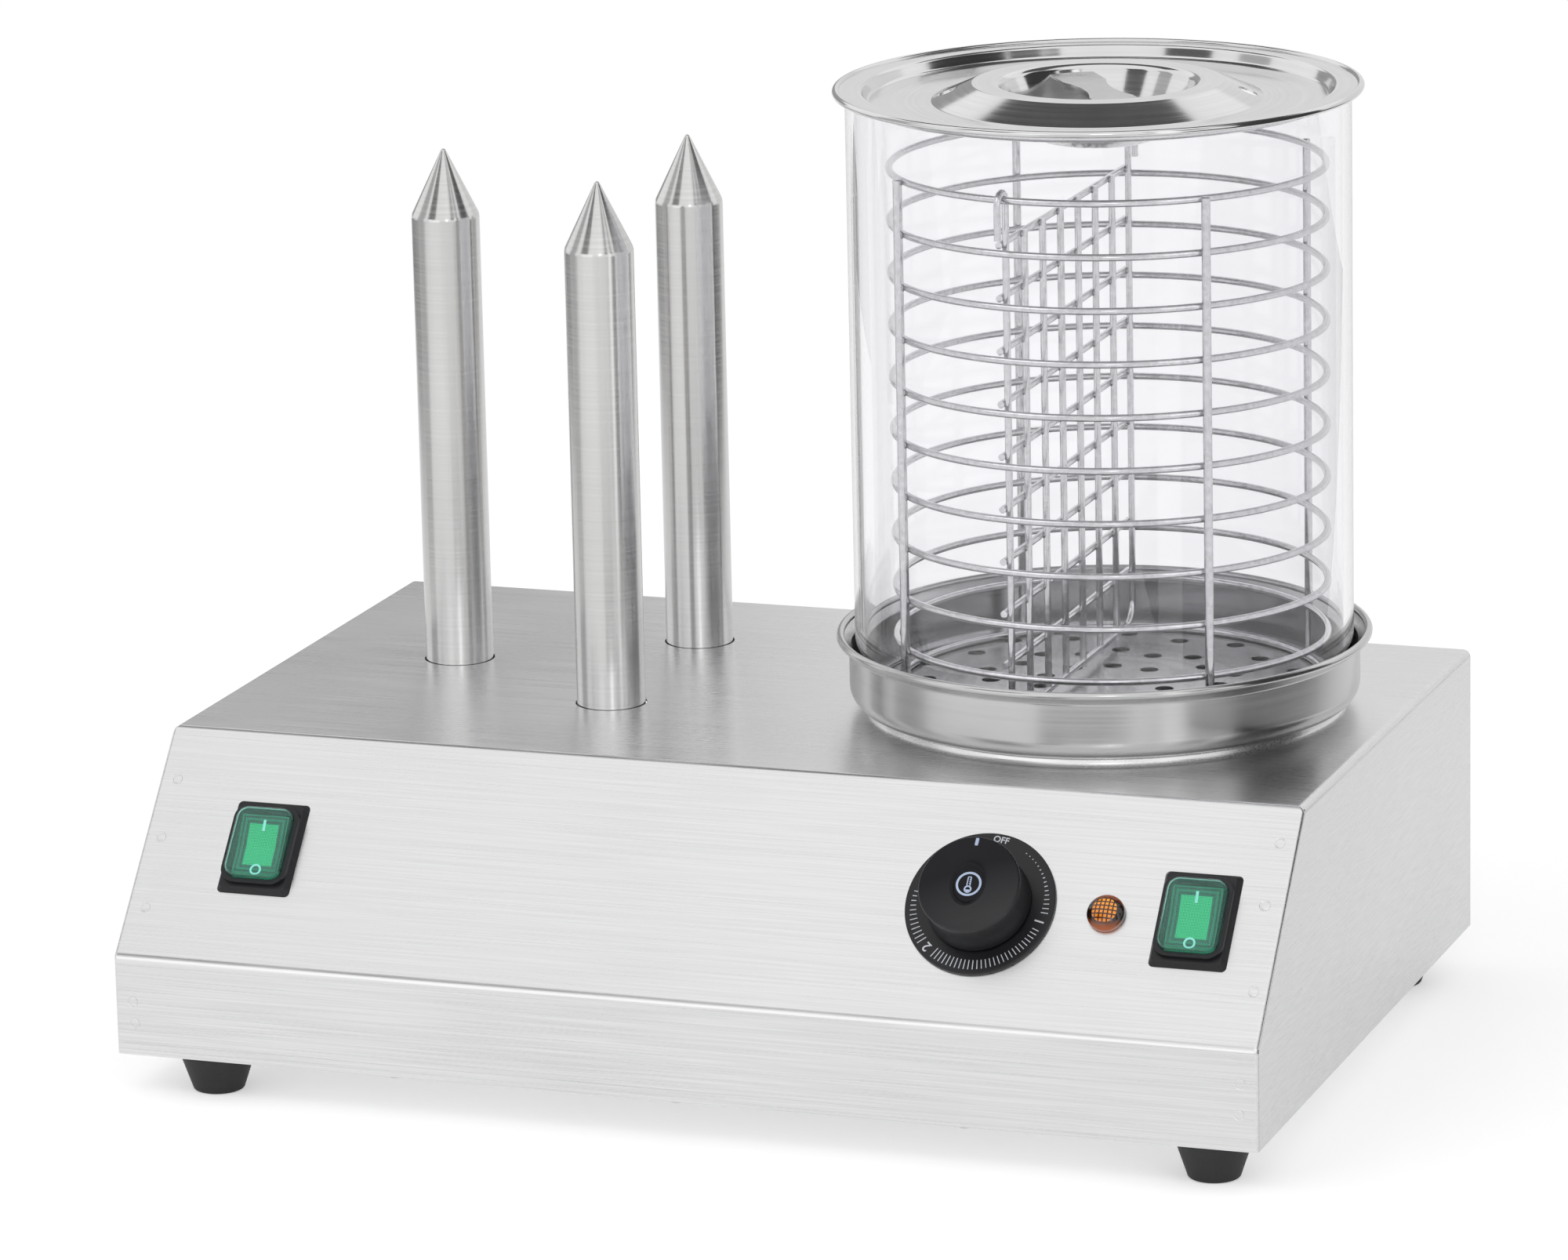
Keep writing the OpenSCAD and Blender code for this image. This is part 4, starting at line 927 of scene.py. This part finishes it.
# %% [markdown]
# The lid is pressed from one sheet: a bead at the rim, a trough that drops into the glass, a
# sloping step with two steam holes, and a bowl for the fingers under a strap. Its line is spun
# once and Solidify gives it the sheet's thickness.

# %% Lid
LID = 386.736
lid_line = [(0, -20.1), (20.8, -20.1)] + arc((20.8, -15.1), 5, -80, -50, 4)
lid_line += [(31.5, -14.1), (34.4, -10.2)] + arc((41.5, -1.5), 3.4, 172, 90, 8)
lid_line += arc((49.4, -0.4), 2.3, 90, 70, 3) + arc((66.2, -2.5), 2.4, 250, 270, 3)
lid_line += arc((90.3, -3.2), 1.7, 270, 340, 5) + arc((94.6, -1.6), 1.6, 160, 90, 5)
lid_line += [(103.2, 0)]
lid = lathe([(radius, height + LID) for radius, height in lid_line], steps=160)
upward = sum(face.normal.z * face.area for face in lid.data.polygons)
if upward < 0:
    pick(lid, "FACE", lambda spot, way: True)
    bpy.ops.mesh.flip_normals()
    done()
modify(lid, "SOLIDIFY", thickness=mm(0.8), offset=-1)
for turn in (13, 193):
    cut(lid, cylinder(around(59.5, radians(turn), LID), 4, 16, vertices=32))
bead = lathe(arc((103.6, LID - 0.4), 1.4, 0, 360, 16), steps=160)
lid = join([lid, bead])
lid.location = AXIS
smooth(lid, 32, flats=True)
settle(lid, "lid_shell", "lid", "lid_steel", replaces=["lid_pressing"])

# %% Lid strap
strap_middle = mm(0, 0, LID - 1.7)
strap = box(strap_middle, (90, 18, 1.2))
freeze(strap)
waists = [cylinder(mm(0, side * 66, LID - 1.7), 60, 10, vertices=160) for side in (-1, 1)]
cut(strap, *waists)
cut(strap, cylinder(strap_middle, 37.8, 10, vertices=160), operation="INTERSECT")
modify(strap, "BEVEL", width=mm(0.35), segments=3, limit_method="ANGLE", angle_limit=radians(50))
smooth(strap, 40, flats=True)
strap.rotation_euler = (0, 0, radians(-56.3))
strap.location = AXIS
settle(strap, "lid_handle", "lid", "lid_steel", replaces=["lid_strap"], look="bright_steel")

# %% [markdown]
# The basket is welded wire. One ring is spun and copied up the basket. Where wires cross, a small
# bead of metal has run out of the weld. It is modelled once and copied to every crossing. The
# divider between the rows of sausages hangs from the top ring by two hooks. Its frame is one bent
# wire, with nine wires across it and six upright ones.

# %% Wire helpers
def wire(points, radius):
    """A round wire along points in mm: a thread made a curve, rounded and made a mesh."""
    thread(points)
    done()
    bpy.ops.object.convert(target="CURVE")
    path = bpy.context.object
    path.data.bevel_depth = mm(radius)
    path.data.bevel_resolution = 3
    path.data.use_fill_caps = True
    bpy.ops.object.convert(target="MESH")
    return bpy.context.object


bpy.ops.mesh.primitive_uv_sphere_add(segments=12, ring_count=8, radius=mm(0.95))
bead_model = bpy.context.object
modify(bead_model, "SUBSURF", levels=1)
print("one weld bead has", len(bead_model.data.polygons), "faces")

# %% Basket rings
BASKET = (120.5, 28.5)
WIRE_RADIUS = 1.45
RING_Z = [145.55 + 21.1 * i for i in range(11)]
UPRIGHT_TURNS = [radians(42 + 90 * i) for i in range(4)]


def round_basket(reach, turn, z):
    return mm(BASKET[0] + reach * cos(turn), BASKET[1] + reach * sin(turn), z)


ring_model = lathe(arc((86.35, 0), WIRE_RADIUS, 0, 360, 12), steps=144)
basket = []
for z in RING_Z:
    basket.append(copy_of(ring_model, mm(*BASKET, z)))
    for turn in UPRIGHT_TURNS:
        spot = round_basket(87.55, turn, z)
        basket.append(copy_of(bead_model, spot, stretch=(1, 1, 1.3)))
drop(ring_model)
basket = join(basket)
smooth(basket, 50)
settle(basket, "basket_hoops", "basket", "chromed_wire", replaces=["basket_rings"])

# %% Basket uprights
rod_line = [(0, 144.3), (1.2, 144.3), (1.75, 144.8), (1.75, 357.3), (1.2, 357.8), (0, 357.8)]
rod_model = lathe(rod_line, steps=16)
rods = join([copy_of(rod_model, round_basket(89.15, turn, 0)) for turn in UPRIGHT_TURNS])
drop(rod_model)
smooth(rods, 40)
settle(rods, "basket_posts", "basket", "chromed_wire", replaces=["basket_uprights"])

# %% Divider
MIDDLE_Y = 28.5
PLANE_X, CROSS_X = 104.5, 102.25
ROWS = [170 + 21 * i for i in range(9)]
COLUMNS = [MIDDLE_Y - 80 + 22.857 * i for i in range(8)]
half_line = [(89.7, 341.5)] + arc((84.85, 354.5), 4.85, 0, 180, 12) + arc((70, 159), 10, 0, -90, 8)
right_half = [(PLANE_X, MIDDLE_Y + y, z) for y, z in half_line]
left_half = [(x, 2 * MIDDLE_Y - y, z) for x, y, z in reversed(right_half)]
wires = [wire(right_half + left_half, WIRE_RADIUS)]
wires += [wire([(CROSS_X, -53.5, z), (CROSS_X, 110.5, z)], WIRE_RADIUS) for z in ROWS]
wires += [wire([(PLANE_X, y, 146.75), (PLANE_X, y, 339.75)], WIRE_RADIUS) for y in COLUMNS[1:7]]
for y in COLUMNS:
    for z in ROWS:
        wires.append(copy_of(bead_model, mm(103.375, y, z), stretch=(0.9, 1.3, 1.3)))
drop(bead_model)
divider = join(wires)
smooth(divider, 50)
settle(divider, "divider_grid", "divider", "chromed_wire", replaces=["wire_divider"])

# %% [markdown]
# The three heated spikes are turned from bar. Each gets the turned finish about its own axis, so
# that the rings of grain and the fans of light on the cone sit where they should.

# %% Spikes
spike_line = [(0, 262), (6.1, 260), (6.1, 60), (19.95, 60), (19.95, 64), (13.95, 64)]
spike_line += [(13.95, 320.1), (13.83, 321.0), (13.55, 322.1), (1.1, 347.6)]
spike_line += arc((0, 347.2), 1.2, 25, 90, 4)
spike_line[-1] = (0, 348.4)
spike_model = lathe(spike_line, steps=96, angle=25)
for name, (x, y) in zip(("left_row", "front", "rear_row"), SPIKE_SPOTS):
    turned_spike("spike_" + name, mm(x, y, 0))
    settle(copy_of(spike_model, mm(x, y, 0)), "spike_body_" + name, "root", "spike_steel",
           replaces=["spike_" + name], look="spike_" + name)
drop(spike_model)

# %% [markdown]
# The controls are modelled lying flat at the origin, with their own z axis pointing out of the
# panel, and are then laid on the slope. The dial is a black disc. Its scale is print: every mark
# is a thin raised mesh, a dot at first and then a tick that grows with the temperature.

# %% Lay on the slope
def lay(piece, x):
    """Lays a piece that was modelled flat on the slope at x."""
    freeze(piece)
    piece.rotation_euler = flat_on_slope
    piece.location = control_spot(x)
    return piece


dial_line = [(5.1, 0.05), (29.7, 0.05), (30, 0.35)] + arc((29.4, 1.0), 0.6, 0, 90, 5)
dial_line += [(5.1, 1.6), (5.1, 0.05)]
settle(lay(lathe(dial_line, steps=144), DIAL_X), "dial_disc", "root", "black_plastic",
       replaces=["dial_plate"], look="dial_plastic")

# %% Dial scale
DIAL_TOP = 1.6


def mark(turn, reach, long, wide):
    """A tick on the dial, its turn counted clockwise from the pointer in degrees."""
    t = radians(90 - turn)
    return box(around(reach, t, DIAL_TOP), (wide, long, 0.12), (0, 0, t - pi / 2))


def lettering(words, turn, reach, size):
    """Raised characters that read outwards along the dial."""
    t = radians(90 - turn)
    bpy.ops.object.select_all(action="DESELECT")
    bpy.ops.object.text_add(location=around(reach, t, DIAL_TOP), rotation=(0, 0, t - pi / 2))
    label = bpy.context.object
    label.data.body = words
    label.data.size = mm(size)
    label.data.align_x = "CENTER"
    label.data.align_y = "CENTER"
    label.data.extrude = mm(0.05)
    label.data.offset = mm(0.06)
    bpy.ops.object.convert(target="MESH")
    return bpy.context.object


marks = [mark(33 + 4.1 * i, 26.6, 0.4 + 0.016 * i * i * 0.7, 0.42 - 0.004 * i) for i in range(16)]
marks += [mark(111 + 3.75 * i, 26.1, 2.9 + 0.055 * i, 0.36) for i in range(28)]
marks += [mark(229 + 4.3 * i, 26.5, 4.2 - 0.24 * i, 0.36) for i in range(12)]
marks.append(lettering("OFF", 7, 27.3, 3.7))
marks.append(lettering("1", 103, 25.6, 5.6))
marks.append(lettering("2", 221, 26.4, 5.6))
settle(lay(join(marks), DIAL_X), "dial_print", "root", "black_plastic", look="white_print")

# %% [markdown]
# The knob is spun too: a slightly domed face, a waist for the fingers and a skirt. The oval dish
# in its face is cut with a lathe piece that is squeezed sideways. The badge and the pointer are
# printed in pale blue.

# %% Knob
knob_line = [(0, 15), (3.1, 15), (3.1, 2.1), (20.2, 2.1), (20.6, 2.5)]
knob_line += [(20.6, 4.0), (20.25, 6.0), (19.75, 8.5), (19.55, 11.0), (19.7, 13.5), (20.0, 16.0)]
knob_line += arc((18.9, 17.9), 1.3, 5, 72, 6) + [(16.5, 19.55), (12.5, 19.9), (0, 20)]
knob = lathe(knob_line, steps=144)
dish_line = [(0, 18.8), (7.0, 18.8)] + arc((7.0, 20.0), 1.2, -80, -40, 4)
dish = lathe(dish_line + [(9.6, 20.1), (10.2, 21), (0, 21)])
dish.scale = (0.75, 1, 1)
freeze(dish)
cut(knob, dish)
smooth(knob, 30, flats=True)
settle(lay(knob, DIAL_X), "knob", "knob", "knob_plastic", replaces=["control_knob"],
       look="knob_face")

# %% Knob badge and pointer
BADGE_LOW, BADGE_MIDDLE, BADGE_TOP = 18.7, 18.8, 18.9
badge = [washer(4.2, 5.1, BADGE_LOW, BADGE_TOP, 64), washer(0.95, 1.55, BADGE_LOW, BADGE_TOP, 32)]
badge[-1].location = mm(0, -2.2, 0)
bars = [((0, -2.75), (1.9, 0.75)), ((0, 2.95), (1.3, 0.4))]
bars += [((side * 0.62, 0.9), (0.4, 3.9)) for side in (-1, 1)]
bars += [((0.3, y), (0.5, 0.3)) for y in (0.2, 1.1, 2.0)]
for spot, size in bars:
    badge.append(box(mm(*spot, BADGE_MIDDLE), (*size, 0.2)))
pointer = box(mm(0, 17.6, 19.42), (1.35, 3.3, 0.7), (radians(-6), 0, 0))
freeze(pointer)
modify(pointer, "BEVEL", width=mm(0.3), segments=3)
badge.append(pointer)
settle(lay(join(badge), DIAL_X), "knob_print", "knob", "knob_plastic", look="pale_print")

# %% [markdown]
# The lamp is a flat amber dome with a rounded rim, pushed into its hole. Its outline is spun.

# %% Lamp
lens_line = [(0, 0.05), (7.2, 0.05), (7.5, 0.4), (7.5, 1.4)] + arc((5.6, 1.5), 1.9, 12, 58, 5)
lens_line += [(5.4, 3.9), (3.8, 4.5), (2.0, 4.88), (0, 5.0)]
settle(lay(lathe(lens_line, steps=96, angle=60), LAMP_X), "lamp_dome", "root", "amber_lens",
       replaces=["lamp_lens"])

# %% [markdown]
# A switch is a frame with sloping sides, a raised collar, a clear splash cover and a rocker under
# it. Frame, collar and body are blocks with bevelled corners. They are united, and a pocket for
# the cover and a well for the rocker are cut into them.


# %% Switch blocks
def rounded_block(size, radius, low, steps=6):
    """A block standing on a height in mm, with its upright edges bevelled round."""
    piece = box(mm(0, 0, low + size[2] / 2), size)
    freeze(piece)
    pick(piece, "EDGE", lambda spot, way: abs(way.z) > 0.99)
    bpy.ops.mesh.bevel(offset=mm(radius), segments=steps, affect="EDGES")
    done()
    return piece


def taper_top(piece, top, width, height):
    """Shrinks the face at a height, so that the sides slope in."""
    pick(piece, "FACE", lambda spot, way: spot.z > mm(top - 0.1) and way.z > 0.9)
    bpy.ops.transform.resize(value=(width, height, 1))
    done()


def soften(piece, low, width, steps=3):
    """Bevels level edges above a height."""
    def level(spot, way):
        return spot.z > mm(low) and abs(way.z) < 0.1
    pick(piece, "EDGE", level)
    bpy.ops.mesh.bevel(offset=mm(width), segments=steps, affect="EDGES")
    done()


frame_block = rounded_block((31, 40.4, 3), 2, 0.02)
taper_top(frame_block, 3, 0.9, 0.925)
soften(frame_block, 2.9, 0.35)
collar = rounded_block((27.8, 34.2, 3.2), 6, 2)
soften(collar, 5.1, 0.4)
body_block = rounded_block((26.6, 35.6, 23), 1, -22)
cut(frame_block, collar, body_block, operation="UNION")
cut(frame_block, rounded_block((24.4, 30.8, 8), 5, 2), box(mm(0, 0, -1), (21, 28.3, 30)))
smooth(frame_block, 35, flats=True)
print("switch frame has", len(frame_block.data.polygons), "faces")

cover = rounded_block((24.2, 30.6, 6.6), 5, 2, 8)
soften(cover, 8.5, 2.4, 6)
pick(cover, "FACE", lambda spot, way: way.z < -0.9)
bpy.ops.mesh.delete(type="FACE")
done()
modify(cover, "SOLIDIFY", thickness=mm(0.7), offset=-1)
smooth(cover, 50)
print("switch cover has", len(cover.data.polygons), "faces")

# %% [markdown]
# Each switch gets copies of frame and cover. The line and the circle are printed on the rocker,
# which lies tilted in the off position about an axis below the panel.

# %% Switches
ROCKER_DEEP, ROCKER_TILT = 5, radians(6)
MARK_TILT = radians(4.3)
for side, x in SWITCH_X.items():
    settle(lay(copy_of(frame_block), x), side + "_switch_frame", "root", "black_plastic",
           replaces=[side + "_switch_housing"])
    settle(lay(copy_of(cover), x), side + "_switch_cover", "root", "clear_cap",
           replaces=[side + "_switch_cap"])
    on_mark = box(mm(0, 9.0, 3.78), (1.1, 4.6, 0.16), (MARK_TILT, 0, 0))
    off_mark = washer(1.55, 2.4, 0, 0.16, 40)
    off_mark.location = mm(0, -9.6, 3.78)
    off_mark.rotation_euler = (-MARK_TILT, 0, 0)
    letters = join([on_mark, off_mark])
    letters.rotation_euler = (ROCKER_TILT, 0, 0)
    shift = (0, -ROCKER_DEEP * sin(ROCKER_TILT), ROCKER_DEEP * (cos(ROCKER_TILT) - 1))
    letters.location = mm(*shift)
    # the rocker marks take the print with the painted glow
    settle(lay(letters, x), side + "_rocker_marks", "rocker_" + side, "green_rocker",
           look="painted_glow_print")
drop(frame_block, cover)

# %% [markdown]
# Small things finish the outside. The screws have a low domed head with a cross recess, modelled
# once and copied to every hole of the rear panel and the base, each turned differently.

# %% Screws
def screw(height):
    """A pan-head screw standing on z = 0, its head up and its shank down."""
    line = [(0, -7), (1.4, -7), (1.7, -6.4), (1.7, 0), (3.3, 0)]
    line += arc((2.7, 0.6), 0.75, -40, 40, 4)
    line += [(2.3, height * 0.86), (1.2, height), (0, height)]
    piece = lathe(line, steps=32)
    for turn in (0, pi / 2):
        cut(piece, box(mm(0, 0, height), (3.2, 0.7, 1.2), (0, 0, turn)))
    return piece


tall_head, low_head = screw(2.1), screw(1.25)
rear = []
for x in (-177, -59, 59, 177):
    for z in (22.5, 128.5):
        turn = (-pi / 2, radians(7 * x + 3 * z), 0)
        rear.append(copy_of(tall_head, mm(x, BACK, z), turn))
settle(join(rear), "rear_screw_set", "root", "bright_steel", replaces=["casing_screws"])
base_spots = [(x, y) for x in (-118, 0, 118) for y in (-159, 146)] + [(-230.5, -6), (230.5, -6)]
under = [copy_of(low_head, mm(x, y, 16), (pi, 0, radians(5 * x + y))) for x, y in base_spots]
settle(join(under), "base_screw_set", "root", "bright_steel", replaces=["base_screws"])
drop(tall_head, low_head)

# %% [markdown]
# The feet are moulded rubber with a rounded lower edge and a well for their bolt.

# %% Feet
foot_line = [(2.6, 15.95), (2.6, 10), (5.6, 10), (5.6, 0.6), (6.2, 0.05), (9.0, 0.05)]
foot_line += arc((9.0, 1.55), 1.5, -80, -8, 5) + [(14.6, 13.6), (14.95, 14.8), (14.9, 15.4)]
foot_line += [(14.3, 15.95), (2.6, 15.95)]
foot_model = lathe(foot_line, steps=72)
FEET = {"front_left": (-199.5, -148.5), "front_right": (214, -148.5)}
FEET.update(rear_left=(-199.5, 116.5), rear_right=(214, 116.5))
for name, (x, y) in FEET.items():
    settle(copy_of(foot_model, mm(x, y, 0)), "rubber_foot_" + name, "root", "foot_rubber",
           replaces=["foot_" + name])
drop(foot_model)
